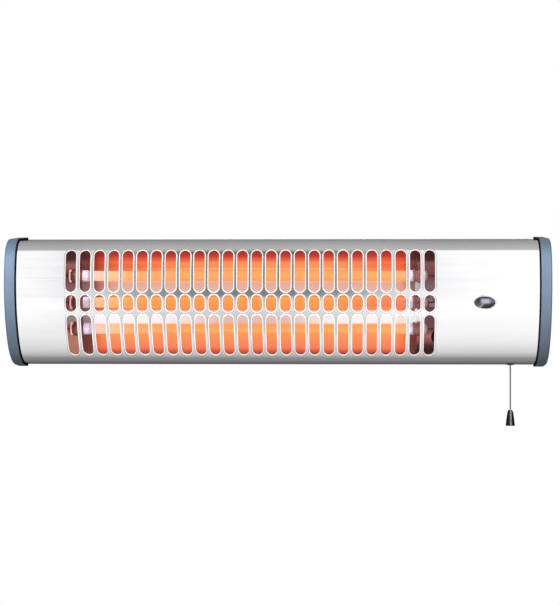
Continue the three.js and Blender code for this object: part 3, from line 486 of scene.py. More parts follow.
paint_steel = material("bright_steel", steel)
paint_edge = material("lit_edge", lit_edge)
paint_zinc = material("zinc_sheet", zinc)
plating = bright_metal((0.52, 0.53, 0.55), (0.66, 0.67, 0.68), 0.22, 0.34, 1500.0)
paint_plated = material("plated_steel", plating)
paint_brass = material("brass", bright_metal((0.62, 0.43, 0.16), (0.76, 0.56, 0.25), 0.24, 0.36, 1200.0))
paint_cap = material("cap_plastic", cap_plastic)
paint_black = material("black_plastic", moulded((0.016, 0.016, 0.018), 0.18, 0.04))
paint_white = material("white_plastic", moulded((0.78, 0.78, 0.76), 0.35, 0.08))

# -------- slotted front cover

COVER_INSET = 2.5
SHEET = 0.8
COVER_END = 252.9
LIP = 10.0
COVER_TOP, COVER_BOTTOM = 63.4, -62.9  # at the back
PITCH = 13.9
SLOT = 5.0  # radius of a slot's ends
COLUMNS = 26
MIDDLE = -26.1  # x of the middle of the slots
ROWS = [  # ends of the slots, borders of their cells, steps along the straight sides
    (9.9, 50.0, 8.3, 53.5, 8),
    (-9.4, 6.7, -11.0, 8.3, 2),
    (-51.7, -12.6, -55.5, -11.0, 8),
]
ROLL = [  # rolled edge of a slot: out from its edge, proud of the sheet, share of the two normals
    (1.50, 0.00, 1.0, 0.0),
    (1.44, 0.02, 0.82, 0.57),
    (1.16, 0.16, 0.82, 0.57),
    (0.90, 0.27, 0.90, 0.44),
    (0.64, 0.31, 1.0, 0.0),
    (0.38, 0.29, 0.98, -0.20),
    (0.12, 0.20, 0.71, -0.71),
    (0.00, 0.00, 0.0, -1.0),
    (0.00, -0.60, 0.0, -1.0),
    (0.12, -0.78, -0.71, -0.71),
    (0.30, -0.80, -1.0, 0.0),
]
# Painted light: these steps of the rolled edge glow with the tubes' light.
LIT_LEVELS = (4, 5, 6)  # steps of the rolled edge that catch the light of the tubes


def column_x(i):
    return MIDDLE + (i - (COLUMNS - 1) / 2) * PITCH


def side_heights(row):
    """Heights down a cell's side, from its top border to its bottom one."""
    low, high, border_low, border_high, steps = row
    ends = (high - SLOT, low + SLOT)
    down = [border_high + (ends[0] - border_high) * k / 3 for k in range(3)]
    down += [ends[0] + (ends[1] - ends[0]) * k / steps for k in range(steps + 1)]
    return down + [ends[1] + (border_low - ends[1]) * k / 3 for k in range(1, 4)]


def cell_ring(x, row):
    """Points round a cell, clockwise from its top left: border x and height, slot centre and angle."""
    low, high, border_low, border_high, steps = row
    half = PITCH / 2
    top, bottom = high - SLOT, low + SLOT
    side = side_heights(row)
    centres = [top] * 3 + [top + (bottom - top) * k / steps for k in range(steps + 1)] + [bottom] * 3
    right = [45, 30, 15] + [0] * (steps + 1) + [-15, -30, -45]
    across = [x - half + PITCH * k / 6 for k in range(7)]
    ring = [(across[k], border_high, top, 135 - 15 * k) for k in range(6)]
    ring += [(x + half, side[k], centres[k], right[k]) for k in range(len(side) - 1)]
    ring += [(across[6 - k], border_low, bottom, -45 - 15 * k) for k in range(6)]
    back = list(range(len(side) - 1, 0, -1))
    ring += [(x - half, side[k], centres[k], 180 - right[k]) for k in back]
    return ring


def run_to_back(top, inset, back, radius):
    """From the slots' outer border to the end of the back lip: depth, height and normal."""
    arc, end = last_arc(top)
    height = ROWS[0][3] if top else ROWS[2][2]
    _, _, nd, nh = skin(height, inset)
    start = math.degrees(math.atan2(nh, -nd))
    run = [on_arc(arc, start + (end - start) * k / 10, inset) for k in range(11)]
    reach = on_arc(arc, end, inset)[0]
    last = DEPTH - 3.0
    run += [slope(arc, end, inset, reach + (last - reach) * k / 3) for k in (1, 2)]
    run += back_corner(top, inset, radius, back)
    d, h, nd, nh = run[-1]
    edge = COVER_TOP - LIP if top else COVER_BOTTOM + LIP
    return run + [(d, h + (edge - h) * k / 2, nd, nh) for k in (1, 2)]


def front_cover():
    points, normals, faces, lit, index = [], [], [], [], {}

    def vertex(key, x, base, lift, normal=None):
        if key not in index:
            index[key] = len(points)
            d, h, nd, nh = base
            points.append(at(x, d + lift * nd, h + lift * nh))
            side = 1 if key[0] == "out" else -1
            normals.append(normal or (0, side * nd, side * nh))
        return index[key]

    def plain(side, x, height):
        lift = 0.0 if side == "out" else -SHEET
        return vertex((side, round(x, 3), round(height, 3)), x, skin(height, COVER_INSET), lift)

    left = [-COVER_END, -245.0, -232.0, -220.0, -212.0]
    cells = [column_x(0) - PITCH / 2 + PITCH * k / 6 for k in range(6 * COLUMNS + 1)]
    right = [162.0, 172.0, 186.0, 200.0, 214.0, 228.0, 242.0, COVER_END]
    across = left + cells + right
    heights = side_heights(ROWS[0])[:-1] + side_heights(ROWS[1])[:-1] + side_heights(ROWS[2])

    for side, thick in (("out", 0.0), ("in", SHEET)):
        for xs in (left + cells[:1], cells[-1:] + right):
            for x0, x1 in zip(xs, xs[1:]):
                for h0, h1 in zip(heights, heights[1:]):
                    square = [(x0, h0), (x1, h0), (x1, h1), (x0, h1)]
                    faces.append([plain(side, *corner) for corner in square])
        for top in (True, False):
            run = run_to_back(top, COVER_INSET + thick, DEPTH - thick, 2.0 - thick)
            border = ROWS[0][3] if top else ROWS[2][2]

            def corner(x, k):
                if k == 0:
                    return plain(side, x, border)
                return vertex((side, round(x, 3), top, k), x, run[k], 0.0)

            for x0, x1 in zip(across, across[1:]):
                for k in range(len(run) - 1):
                    faces.append([corner(x0, k), corner(x1, k), corner(x1, k + 1), corner(x0, k + 1)])

    for i in range(COLUMNS):
        x = column_x(i)
        for r, row in enumerate(ROWS):
            ring = cell_ring(x, row)
            rows = [[plain("out", p[0], p[1]) for p in ring]]
            for level, (out, lift, face_on, away) in enumerate(ROLL):
                line = []
                for j, (_, _, centre, angle_deg) in enumerate(ring):
                    a = math.radians(angle_deg)
                    reach = SLOT + out
                    base = skin(centre + reach * math.sin(a), COVER_INSET)
                    nd, nh = base[2:]
                    along = away * math.sin(a)
                    normal = Vector((away * math.cos(a), face_on * nd + along * nh, face_on * nh - along * nd))
                    px = x + reach * math.cos(a)
                    key = ("out", i, r, level, j)
                    line.append(vertex(key, px, base, lift, tuple(normal.normalized())))
                rows.append(line)
            rows.append([plain("in", p[0], p[1]) for p in ring])
            for level, (a_line, b_line) in enumerate(zip(rows, rows[1:])):
                if level in LIT_LEVELS:
                    lit.extend(range(len(faces), len(faces) + len(ring)))
                for j in range(len(ring)):
                    k = (j + 1) % len(ring)
                    faces.append([a_line[j], a_line[k], b_line[k], b_line[j]])

    for x in (-COVER_END, COVER_END):
        for h0, h1 in zip(heights, heights[1:]):
            faces.append([plain("out", x, h0), plain("out", x, h1), plain("in", x, h1), plain("in", x, h0)])
    facing = []
    for face in faces:
        a, b, c = (Vector(points[i]) for i in face[:3])
        lean = sum((Vector(normals[i]) for i in face), Vector())
        facing.append(face if (b - a).cross(c - a).dot(lean) >= 0 else face[::-1])
    sheet = piece(
        "front_cover_sheet", points, facing, paint_steel,
        nodes=("front_cover",), slot="stainless", normals=normals,
    )
    sheet.data.materials.append(paint_edge)
    for i in lit:
        sheet.data.polygons[i].material_index = 1
    return sheet


front_cover()

# -------- end caps

CAP_INSET = 0.36
CAP_SIDE = 254.0  # inner edge of the rim
CAP_FACE = 265.0
CAP_ROUND = 2.4
CAP_WALL = 2.4
CAP_PLAIN = 12.0  # inset where the flat face begins
SPIGOT, SPIGOT_INSIDE = 3.9, 5.6  # insets of the spigot that slips into the cover
SPIGOT_END = 246.0
CAP_SCREWS = (("upper", 68.0), ("lower", -8.0))  # heights above the bracket's axis
CAP_SCREW_X, CAP_SCREW_Y = 262.8, -36.0
RECESS_RADIUS, RECESS_DEPTH = 4.6, 2.5
HEAD_RADIUS = 3.4


def closed_outline(inset):
    """The outline round the body at an inset: depth and height, from the back bottom corner forwards."""
    radius = max(3.2 - inset, 0.6)
    back = DEPTH - inset
    loop = [p[:2] for p in reversed(back_corner(False, inset, radius, back))]
    for arc, start, end, steps in (
        (BOTTOM, BOTTOM_END, BOTTOM_TURN, 12), (FACE, BOTTOM_TURN, TOP_TURN, 16), (TOP, TOP_TURN, TOP_END, 14),
    ):
        first = 0 if arc is BOTTOM else 1
        loop += [on_arc(arc, start + (end - start) * k / steps, inset)[:2] for k in range(first, steps + 1)]
    return loop + [p[:2] for p in back_corner(True, inset, radius, back)]


def end_cap(side, name):
    face = CAP_FACE - CAP_ROUND
    sections = [(CAP_FACE, CAP_PLAIN), (CAP_FACE, 6.0)]
    for k in range(7):
        a = math.radians(90 - 15 * k)
        inward = CAP_ROUND * (1 - math.cos(a))
        sections.append((face + CAP_ROUND * math.sin(a), CAP_INSET + inward))
    sections += [(258.0, CAP_INSET), (CAP_SIDE + 0.5, CAP_INSET), (CAP_SIDE + 0.15, CAP_INSET + 0.15)]
    sections += [(CAP_SIDE, CAP_INSET + 0.5), (CAP_SIDE, SPIGOT), (SPIGOT_END + 0.3, SPIGOT)]
    sections += [(SPIGOT_END, SPIGOT + 0.3), (SPIGOT_END, SPIGOT_INSIDE)]
    sections += [(CAP_FACE - CAP_WALL, SPIGOT_INSIDE), (CAP_FACE - CAP_WALL, CAP_PLAIN)]
    rings = [[at(side * x, d, h) for d, h in closed_outline(inset)] for x, inset in sections]
    cap = piece(f"end_cap_{name}_moulding", flat(rings), bridge(rings, ends=True), paint_cap,
                nodes=(f"end_cap_{name}",), slot="cap_plastic", sharp=50)
    for _, height in CAP_SCREWS:
        tool = bmesh.new()
        middle = Matrix.Translation(Vector((side * CAP_FACE * MM, CAP_SCREW_Y * MM, height * MM)))
        bmesh.ops.create_cone(
            tool, cap_ends=True, segments=48, radius1=RECESS_RADIUS * MM, radius2=RECESS_RADIUS * MM,
            depth=2 * RECESS_DEPTH * MM, matrix=middle @ Matrix.Rotation(math.radians(90), 4, "Y"),
        )
        carve(cap, tool)
    cap.data.set_sharp_from_angle(angle=math.radians(35))


def crosshead(kind, place, origin, axis, rise=1.1):
    """A pan head screw with a cross recess; origin is the middle of the head's underside, in mm."""
    profile = [(0.0, rise)]
    for k in range(1, 7):
        a = math.radians(15 * k)
        profile.append((HEAD_RADIUS * math.sin(a), 0.35 + (rise - 0.35) * math.cos(a)))
    shank = HEAD_RADIUS * 0.55
    profile += [(HEAD_RADIUS, 0.0), (shank, 0.0), (shank, -6.0), (0.0, -6.4)]
    head = turned(f"{kind}_head_{place}", profile, origin, axis, paint_plated, steps=40, sharp=40,
                  nodes=(f"{kind}_{place}",), slot="zinc_steel")
    spot = Matrix.Translation(Vector(origin) * MM) @ towards(axis).to_4x4()
    shift = Matrix.Translation(Vector((0, 0, (rise - 0.1) * MM)))
    size = Matrix.Diagonal((HEAD_RADIUS * 1.15 * MM, HEAD_RADIUS * 0.24 * MM, 1.0 * MM, 1))
    for turn_by in (20, 110):
        tool = bmesh.new()
        blade = Matrix.Rotation(math.radians(turn_by), 4, "Z") @ shift @ size
        bmesh.ops.create_cube(tool, size=1, matrix=spot @ blade)
        carve(head, tool)


SIDES = ((-1, "left"), (1, "right"))
for side, side_name in SIDES:
    end_cap(side, side_name)
    for place_name, height in CAP_SCREWS:
        spot = (side * CAP_SCREW_X, CAP_SCREW_Y, height)
        crosshead("cap_screw", f"{side_name}_{place_name}", spot, (side, 0, 0))

# -------- glowing interior

LEAN = math.radians(9)
TUBE_DEPTH, TUBE_HEIGHT = 31.0, -0.4
TUBES = {"upper": 26.3, "middle": 0.0, "lower": -26.3}
GLOW_X = -0.187, 0.128  # metres, the glowing length
SHEET_X = -0.195, 0.135  # metres, the reflector's length


def leaning(back, up):
    """Depth and height of a point of the tubes' leaning plane."""
    d = TUBE_DEPTH + back * math.cos(LEAN) - up * math.sin(LEAN)
    return d, TUBE_HEIGHT + back * math.sin(LEAN) + up * math.cos(LEAN)


def rgb(r, g, b):
    """A screen colour as light."""
    return tuple((c / 255 / 12.92 if c <= 10 else ((c / 255 + 0.055) / 1.055) ** 2.4) for c in (r, g, b))


SEEN_LOW, SEEN_HIGH = -54.0, 56.0  # mm, heights of the inside that the slots look at


def seen_height(n, z):
    """Where a z in metres lies in the height that the slots look at, from 0 to 1."""
    return n.range(z, (RISE + SEEN_LOW) * MM, (RISE + SEEN_HIGH) * MM)


def height_ramp(n, share, rows):
    """A ramp over that height, from rows of a height in mm and a grey or a screen colour."""
    span = SEEN_HIGH - SEEN_LOW
    return n.ramp(share, [((h - SEEN_LOW) / span, rgb(*v) if len(v) == 3 else v[0]) for h, *v in rows])


# Painted light and reflections of the tubes on the reflector, from its lower flank up: the flank glows, the
# sheet is pale between the tubes and orange behind them, and the upper flank dies away to dark red.
LIT_SHEET = (
    (-54, 120, 45, 42), (-50, 172, 68, 52), (-47, 226, 104, 76), (-45, 244, 128, 92), (-34, 248, 152, 94),
    (-24, 248, 144, 84), (-22.6, 190, 100, 70), (-21, 222, 186, 178), (-11, 232, 196, 188),
    (-7, 240, 136, 82), (0, 246, 156, 70), (7, 242, 138, 82), (10, 228, 182, 168), (18, 222, 172, 160),
    (20.4, 250, 178, 138), (22, 244, 150, 86), (31.4, 246, 156, 90), (32.6, 250, 180, 132),
    (34, 248, 152, 94), (38.7, 247, 146, 92), (41, 232, 104, 72), (44.6, 186, 62, 54), (47, 158, 48, 50),
    (50, 118, 38, 44), (54, 92, 32, 40),
)
# The same painted light, dimmer, on the sheet's ends past the hot length of the tubes.
DULL_SHEET = (
    (-54, 88, 52, 48), (-46, 102, 58, 50), (-24, 112, 61, 54), (-21, 138, 116, 124), (-12, 148, 134, 138),
    (-8, 100, 68, 74), (5, 92, 60, 66), (12, 134, 100, 102), (17, 130, 94, 98), (24, 92, 58, 64),
    (33, 100, 60, 60), (39, 116, 68, 60), (43, 76, 40, 42), (54, 58, 30, 34),
)


def lit_mirror(n, s):
    """Bright rolled aluminium, with the tubes' light and reflections painted on as emission: banded along its
    height and fading at both ends.
    """
    x, _, z = n.axes()
    wave = n.noise(1.0, 3.0, (26, 1, 8))
    share = seen_height(n, n.math("ADD", z, n.range(wave, 0.0, 1.0, -0.0009, 0.0009)))
    bands = height_ramp(n, share, LIT_SHEET)
    # The painted pale reflection between the tubes is whiter towards both ends.
    wash = n.ramp(
        n.range(x, -0.20, 0.14),
        [(0.0, 0.0), (0.06, 0.95), (0.25, 0.85), (0.42, 0.0), (0.62, 0.0), (0.75, 0.85), (0.97, 0.95)],
    )
    pale = height_ramp(n, share, ((-22, 0), (-20.5, 1), (-10, 1), (-8, 0)))
    bands = n.mix(n.times(wash, pale), bands, (1.0, 0.96, 0.95))
    # The painted light at the left end fades a little sooner above than below.
    shift = n.times(n.range(z, 0.015, 0.030, 0.010, 0.0), n.range(x, -0.14, 0.0, 1.0, 0.0))
    fade = n.ramp(
        n.range(n.math("ADD", x, shift), *SHEET_X),
        [(0.0, (0.16, 0.10, 0.13)), (0.035, (0.22, 0.12, 0.15)), (0.06, (0.62, 0.40, 0.42)),
         (0.09, (0.92, 0.78, 0.72)), (0.13, (1.0, 1.0, 1.0)), (0.93, (1.0, 1.0, 1.0)),
         (0.965, (1.0, 0.70, 0.62)), (0.985, (0.30, 0.16, 0.18)), (1.0, (0.20, 0.11, 0.13))],
    )
    above = height_ramp(n, share, ((24, 0), (31, 1), (37, 1), (43, 0)))
    ends = n.ramp(
        n.range(x, *SHEET_X),
        [(0.0, 1.0), (0.16, 1.0), (0.30, 0.15), (0.5, 0.0), (0.78, 0.0), (0.90, 0.8), (1.0, 1.0)],
    )
    # Painted light: the upper band is redder at the ends, the pale band whiter at both ends of the hot length,
    # and the ends past it dull.
    redder = n.tint(bands, (0.90, 0.46, 0.50))
    bands = n.mix(n.times(above, ends), bands, redder)
    glow = n.tint(bands, fade)
    white_start = n.times(pale, n.range(x, -0.168, -0.150, 1.0, 0.0))
    glow = n.mix(white_start, glow, (0.96, 0.92, 0.95))
    lower = n.math("ADD", x, n.range(z, 0.0, 0.02, -0.0015, 0.0))
    cool = n.math("MAXIMUM", n.range(lower, -0.1857, -0.1843, 1.0, 0.0), n.range(x, 0.1255, 0.1275))
    glow = n.mix(cool, glow, height_ramp(n, share, DULL_SHEET))
    white_end = n.times(pale, n.range(x, 0.120, 0.126))
    streak = n.noise(1.0, 3.0, (5, 1200, 300))
    s["Base Color"] = n.blend(streak, (0.07, 0.03, 0.02), (0.10, 0.045, 0.03))
    s["Roughness"] = n.range(streak, 0.2, 0.8, 0.22, 0.34)
    s["Metallic"] = 1.0
    s.shine(n.mix(white_end, glow, (0.86, 0.84, 0.85)), 0.96)


def hot_wire(n, s):
    """Wound resistance wire, brightest in the middle of its length."""
    x = n.axes()[0]
    along = n.range(x, *GLOW_X)
    heat = n.ramp(along, [(0.0, 0.0), (0.02, 1.0), (0.98, 1.0), (1.0, 0.0)])
    grain = n.noise(700.0, 2.0)
    s["Base Color"] = n.blend(grain, (0.10, 0.07, 0.06), (0.16, 0.11, 0.09))
    s["Metallic"] = 0.8
    s["Roughness"] = 0.45
    s.shine(n.mix(heat, (0.0, 0.0, 0.0), rgb(255, 176, 84)), 1.0)


def quartz(n, s):
    """Milky quartz: lit from within along its hot length; its cool ends glow pale lavender with painted light.
    """
    x, _, z = n.axes()
    colour = n.ramp(
        n.range(x, -0.195, 0.136),
        [(0.0, rgb(176, 168, 192)), (0.035, rgb(184, 176, 200)), (0.055, rgb(255, 212, 196)),
         (0.10, rgb(255, 200, 152)), (0.16, rgb(251, 168, 98)), (0.26, rgb(248, 160, 82)),
         (0.5, rgb(249, 158, 74)), (0.84, rgb(250, 158, 74)), (0.93, rgb(252, 166, 84)),
         (0.96, rgb(255, 176, 104)), (0.975, rgb(190, 150, 165)), (1.0, rgb(190, 180, 200))],
    )
    grain = n.noise(1.0, 3.0, (420, 60, 60))
    tone = n.mix(n.range(grain, 0.3, 0.7, 0.04, 0.26), colour, (1.0, 0.42, 0.12))
    centre = n.range(n.away(z, (RISE + TUBE_HEIGHT) * MM), 0.0045, 0.0075, 1.0, 0.0)
    tone = n.mix(centre, tone, n.tint(tone, (1.0, 0.88, 0.55)))
    ruddy = n.times(centre, n.range(x, 0.05, 0.10))
    tone = n.mix(ruddy, tone, n.tint(tone, (0.94, 0.50, 1.10)))
    s["Base Color"] = n.mix(0.85, colour, (0.12, 0.09, 0.08))
    s["Roughness"] = n.range(grain, 0.2, 0.8, 0.10, 0.2)
    s.shine(tone, 0.74)
    edge = n.add("ShaderNodeLayerWeight", {"Blend": 0.35}).outputs["Facing"]
    s["Alpha"] = n.range(edge, 0.0, 0.8, 0.66, 1.0)


def glaze(light, dark, rim=None, glow=0.35):
    """Fired ceramic, with a painted red glow for the tubes' light. rim is an x range in metres with its own
    colour.
    """

    def build(n, s):
        x = n.axes()[0]
        speck = n.noise(900.0)
        tone = n.blend(speck, dark, light, 0.35, 0.65)
        if rim:
            low, high, colour = rim
            tone = n.mix(n.times(n.math("GREATER_THAN", x, low), n.math("LESS_THAN", x, high)), tone, colour)
        s["Base Color"] = tone
        s["Roughness"] = n.range(speck, 0.3, 0.7, 0.16, 0.30)
        s.shine(n.tint(tone, (0.85, 0.62, 0.62)), glow)

    return build


paint_lit = material("lit_reflector", lit_mirror)
paint_hot = material("hot_wire", hot_wire)
paint_quartz = material("milky_quartz", quartz)
# Painted light and shade on the white ceramics: the sockets are painted brown and maroon for shade and the
# tubes' red light, the left rims and the right sockets' outer domes are pale as painted highlights, and all
# glow with painted light.
paint_socket_shaded = material("socket_painted_shade", glaze(rgb(120, 66, 62), rgb(92, 48, 48)))
paint_rim_highlight = material("rim_painted_highlight", glaze(rgb(248, 222, 222), rgb(226, 196, 198), glow=0.8))
painted_pale_dome = (0.1415, 0.2, rgb(206, 190, 198))
paint_right_shaded = material("right_socket_painted_shade", glaze(rgb(146, 100, 100), rgb(112, 72, 74), rim=painted_pale_dome))
paint_neck = material("cement_neck", glaze(rgb(222, 216, 236), rgb(196, 188, 212)))


def rounded(points, radius, steps=5):
    """A path with its inner corners rounded."""
    path = [points[0]]
    for a, b, c in zip(points, points[1:], points[2:]):
        a, b, c = Vector(a), Vector(b), Vector(c)
        first, second = (a - b).normalized(), (c - b).normalized()
        start, end = b + first * radius, b + second * radius
        for k in range(steps + 1):
            t = k / steps
            path.append(tuple(start * (1 - t) ** 2 + b * 2 * t * (1 - t) + end * t * t))
    return path + [points[-1]]


FLARE = math.radians(43)
FLAT_BACK = 12.5  # mm, the reflector's flat behind the tubes


def flare(side, reach):
    """The edge of one of its flanks."""
    return leaning(FLAT_BACK - reach * math.sin(FLARE), side * (36 + reach * math.cos(FLARE)))


def reflector():
    """The folded sheet: a path of (depth, height) along its front, and its thickness behind that."""
    path = rounded([flare(-1, 19.6), leaning(FLAT_BACK, -36), leaning(FLAT_BACK, 36), flare(1, 25.4)], 5.0)
    thick, columns, start, end = 0.6, 24, -194.2, 134.9
    behind = []
    for i, (d, h) in enumerate(path):
        run = (Vector(path[min(i + 1, len(path) - 1)]) - Vector(path[max(i - 1, 0)])).normalized()
        behind.append((d + run.y * thick, h - run.x * thick))
    loop = path + behind[::-1]
    size = len(loop)
    rings = [[at(start + (end - start) * k / columns, *p) for p in loop] for k in range(columns + 1)]
    faces = bridge(rings)
    for first in (0, columns * size):
        for i in range(len(path) - 1):
            faces.append((first + i, first + i + 1, first + size - 2 - i, first + size - 1 - i))
    piece("reflector_sheet", flat(rings), faces, paint_lit,
          sharp=40, nodes=("reflector",), slot="reflector_metal")


reflector()


def coil(row):
    """The wound wire inside a tube, with its straight tails."""
    middle = leaning(0, TUBES[row])
    pitch, turn_radius, wire_radius, sides, steps = 2.3, 2.6, 0.5, 5, 10
    start, end = -181.0, 121.7
    turns = (end - start) / pitch
    line = [(-209.0, *middle), (-188.0, *middle)]
    for k in range(int(turns * steps) + 1):
        a = 2 * math.pi * k / steps
        grow = min(1.0, k / steps, (turns * steps - k) / steps)
        r = turn_radius * max(grow, 0.15)
        line.append((start + pitch * k / steps, middle[0] + r * math.cos(a), middle[1] + r * math.sin(a)))
    line += [(128.5, *middle), (149.7, *middle)]
    rings = []
    for i, (x, d, h) in enumerate(line):
        a = Vector(line[max(i - 1, 0)])
        b = Vector(line[min(i + 1, len(line) - 1)])
        run = (b - a).normalized()
        out = Vector((0, d - middle[0], h - middle[1]))
        if out.length < 0.2:
            out = Vector((0, 0, 1))
        out = (out - run * out.dot(run)).normalized()
        across = run.cross(out)
        spokes = [(out * math.cos(t) + across * math.sin(t)) * wire_radius for t in circle(sides)]
        rings.append([at(*(Vector((x, d, h)) + p)) for p in spokes])
    piece(f"coil_{row}", flat(rings), bridge(rings, ends=True), paint_hot,
          nodes=(f"heating_coil_{row}",), slot="hot_wire")


PLATES = {"left": -195.0, "right": 135.7}  # x of the tube support plates
for row in TUBES:
    origin = at(0, *leaning(0, TUBES[row]))
    tube = [(5.0, -194.6), (5.0, -193.0), (5.0, 134.0), (5.0, 135.3), (4.6, 135.6), (4.1, 135.5)]
    tube += [(4.0, 135.0), (4.0, -194.6), (4.2, -194.9), (4.8, -194.9)]
    turned(f"tube_{row}", tube, origin, (1, 0, 0), paint_quartz, steps=36, close=True,
           sharp=40, nodes=(f"quartz_tube_{row}",), slot="quartz")
    coil(row)
    for side, side_name in SIDES:
        start = (PLATES[side_name], *origin[1:])
        hub = [(1.0, 11.0), (2.9, 11.2), (3.9, 10.9), (4.4, 10.2), (4.5, 9.2), (4.5, 7.2)]
        if side > 0:
            dome = [math.radians(15 * k) for k in range(1, 7)]
            hub = [(1.0, 11.2)] + [(6.6 * math.sin(a), 5.2 + 6.0 * math.cos(a)) for a in dome]
        cap = [(6.2, 6.9), (6.8, 6.6), (7.0, 6.0), (7.0, 1.4), (6.7, 1.2), (6.0, 1.0)]
        cap += [(6.0, -1.0), (6.7, -1.2), (7.0, -1.5), (7.0, -2.9), (6.6, -3.3), (5.6, -3.5), (5.5, -3.5)]
        front = hub + cap + [(5.15, -3.6), (5.15, -1.0), (1.0, -1.0)]
        shade = paint_socket_shaded if side < 0 else paint_right_shaded
        ceramic = {"steps": 40, "close": True, "slot": "white_ceramic"}
        turned(f"socket_{side_name}_{row}", front, start, (side, 0, 0), shade,
               sharp=40, nodes=(f"ceramic_end_{side_name}_{row}",), **ceramic)
        neck = [(5.12, -3.4), (5.6, -3.6), (5.7, -4.2), (5.7, -8.0), (5.5, -8.9), (5.12, -9.2)]
        turned(f"neck_{side_name}_{row}", neck, start, (side, 0, 0), paint_neck, sharp=50, **ceramic)
        if side < 0:
            collar = [(4.6, 9.6), (5.6, 9.6), (6.3, 9.2), (6.6, 8.7), (6.4, 8.2), (5.8, 8.1), (4.6, 8.4)]
            turned(f"rim_{row}", collar, start, (side, 0, 0), paint_rim_highlight, sharp=60, **ceramic)

# -------- indicator

LENS_X = 200.5
LENS_HEIGHT = -0.5
FACETS = 16


def on_lens(a, b, rise):
    """A point of the indicator: along x, up the skin and proud of it, in mm."""
    d, h, nd, nh = skin(LENS_HEIGHT, COVER_INSET)
    return at(LENS_X + a, d + b * nh + rise * nd, h - b * nd + rise * nh)


LENS_Z = 0.0293
LENS_HIGHLIGHT_X, LENS_HIGHLIGHT_Z = 0.2010, 0.0308  # metres, middle of the painted highlight
# Painted reflections on the cut faces, from the left end round by the bottom, the right end and the top.
CUT_REFLECTIONS = [(0.0, 0.06), (0.07, 0.10), (0.13, 0.30), (0.18, 0.02), (0.38, 0.012), (0.46, 0.05), (0.53, 0.20),
             (0.62, 0.03), (0.70, 0.015), (0.82, 0.02), (0.90, 0.01), (0.96, 0.04)]


def smoked(n, s):
    """Smoked lens, with a painted pale highlight on its flat middle and painted reflections on its cut faces.
    """
    x, _, z = n.axes()
    speck = n.noise(400.0, 2.0)
    lit = n.times(
        n.range(n.away(x, LENS_HIGHLIGHT_X), 0.0026, 0.0056, 1.0, 0.0),
        n.range(n.away(z, LENS_HIGHLIGHT_Z), 0.0012, 0.0032, 1.0, 0.0),
    )
    across, up = n.math("SUBTRACT", x, LENS_X * MM), n.math("SUBTRACT", z, LENS_Z)
    round_by = n.math("ARCTAN2", n.times(up, 1.73), across)
    facet = n.times(n.math("FLOOR", n.times(round_by, FACETS / (2 * math.pi))), 1 / FACETS)
    facet = n.ramp(n.math("ADD", facet, 0.5), CUT_REFLECTIONS)
    # The cut faces' painted reflections darken towards the lens's edge, about 10.2 mm out along x and 5.9 mm
    # along z.
    out_x = n.math("POWER", n.times(n.away(x, LENS_X * MM), 98.0), 2.0)
    out_z = n.math("POWER", n.times(n.away(z, LENS_Z), 169.0), 2.0)
    cut = n.times(facet, n.range(n.math("ADD", out_x, out_z), 0.60, 1.0, 1.0, 0.35))
    s["Base Color"] = n.blend(speck, (0.012, 0.012, 0.018), (0.022, 0.022, 0.030))
    s["Roughness"] = n.range(speck, 0.3, 0.7, 0.05, 0.09)
    s["IOR"] = 1.5
    s["Specular IOR Level"] = 0.12
    dim = n.mix(cut, (0.0, 0.0, 0.0), (0.92, 0.92, 1.0))
    s.shine(n.mix(lit, dim, rgb(178, 181, 200)), 1.0)


def ovals(sizes, steps, offset=0.0):
    """Rings round the indicator from rows of (half width, half height, rise)."""
    rings = []
    for k, (wide, tall, rise) in enumerate(sizes):
        turns = circle(steps, offset * k)
        rings.append([on_lens(wide * math.cos(t), tall * math.sin(t), rise) for t in turns])
    return rings


paint_smoked = material("smoked_lens", smoked)

lens_rings = ovals([(10.2, 5.9, -0.6), (10.2, 5.9, 0.6), (7.9, 4.3, 1.7), (5.2, 2.7, 2.5)], FACETS, 0.5)
lens_faces = [tuple(range(3 * FACETS, 4 * FACETS)), tuple(range(FACETS))]
for a, b, c, d in bridge(lens_rings):
    lens_faces += [(a, b, d), (b, c, d)]
piece("indicator_lens_cut", flat(lens_rings), lens_faces, paint_smoked,
      sharp=2, nodes=("indicator_lens",), slot="smoked_lens")

rim_rings = ovals([(10.3, 6.0, -0.7), (11.3, 7.0, -0.7), (11.3, 7.0, 0.1), (11.1, 6.8, 0.35), (10.7, 6.4, 0.45),
                   (10.3, 6.0, 0.3)], 64)
piece("indicator_rim", flat(rim_rings), bridge(rim_rings, wrap=True), paint_steel,
      sharp=50, nodes=("indicator_bezel",), slot="stainless")

# -------- pull cord


def braid(n, s):
    """Braided cotton cord, with its strands crossing."""
    x, y, z = n.axes()
    one = n.math("SINE", n.times(n.math("ADD", z, n.times(x, 0.9)), 5200.0))
    two = n.math("SINE", n.times(n.math("SUBTRACT", z, n.times(y, 0.9)), 5200.0))
    weave = n.times(one, two)
    s["Base Color"] = n.blend(n.range(weave, -1, 1), (0.05, 0.05, 0.052), (0.15, 0.15, 0.155), 0.2, 0.8)
    s["Roughness"] = 0.85
    s["Normal"] = n.bump(weave, 0.4)


paint_braid = material("cord_braid", braid)

CORD = (230.0, -41.0)
gland = [(4.6, -1.2), (4.6, 0.1), (4.3, 0.6), (3.6, 1.05), (2.6, 1.4), (1.7, 1.6), (1.2, 1.65), (0.9, 1.5)]
gland.append((0.9, -1.2))
turned("cord_gland_mound", gland, (*CORD, -31.2), (0, -0.1045, -0.9945), paint_black, steps=48,
       close=True, sharp=60, nodes=("cord_gland",), slot="black_plastic")


HIGHLIGHT_LINE_X = 0.2302


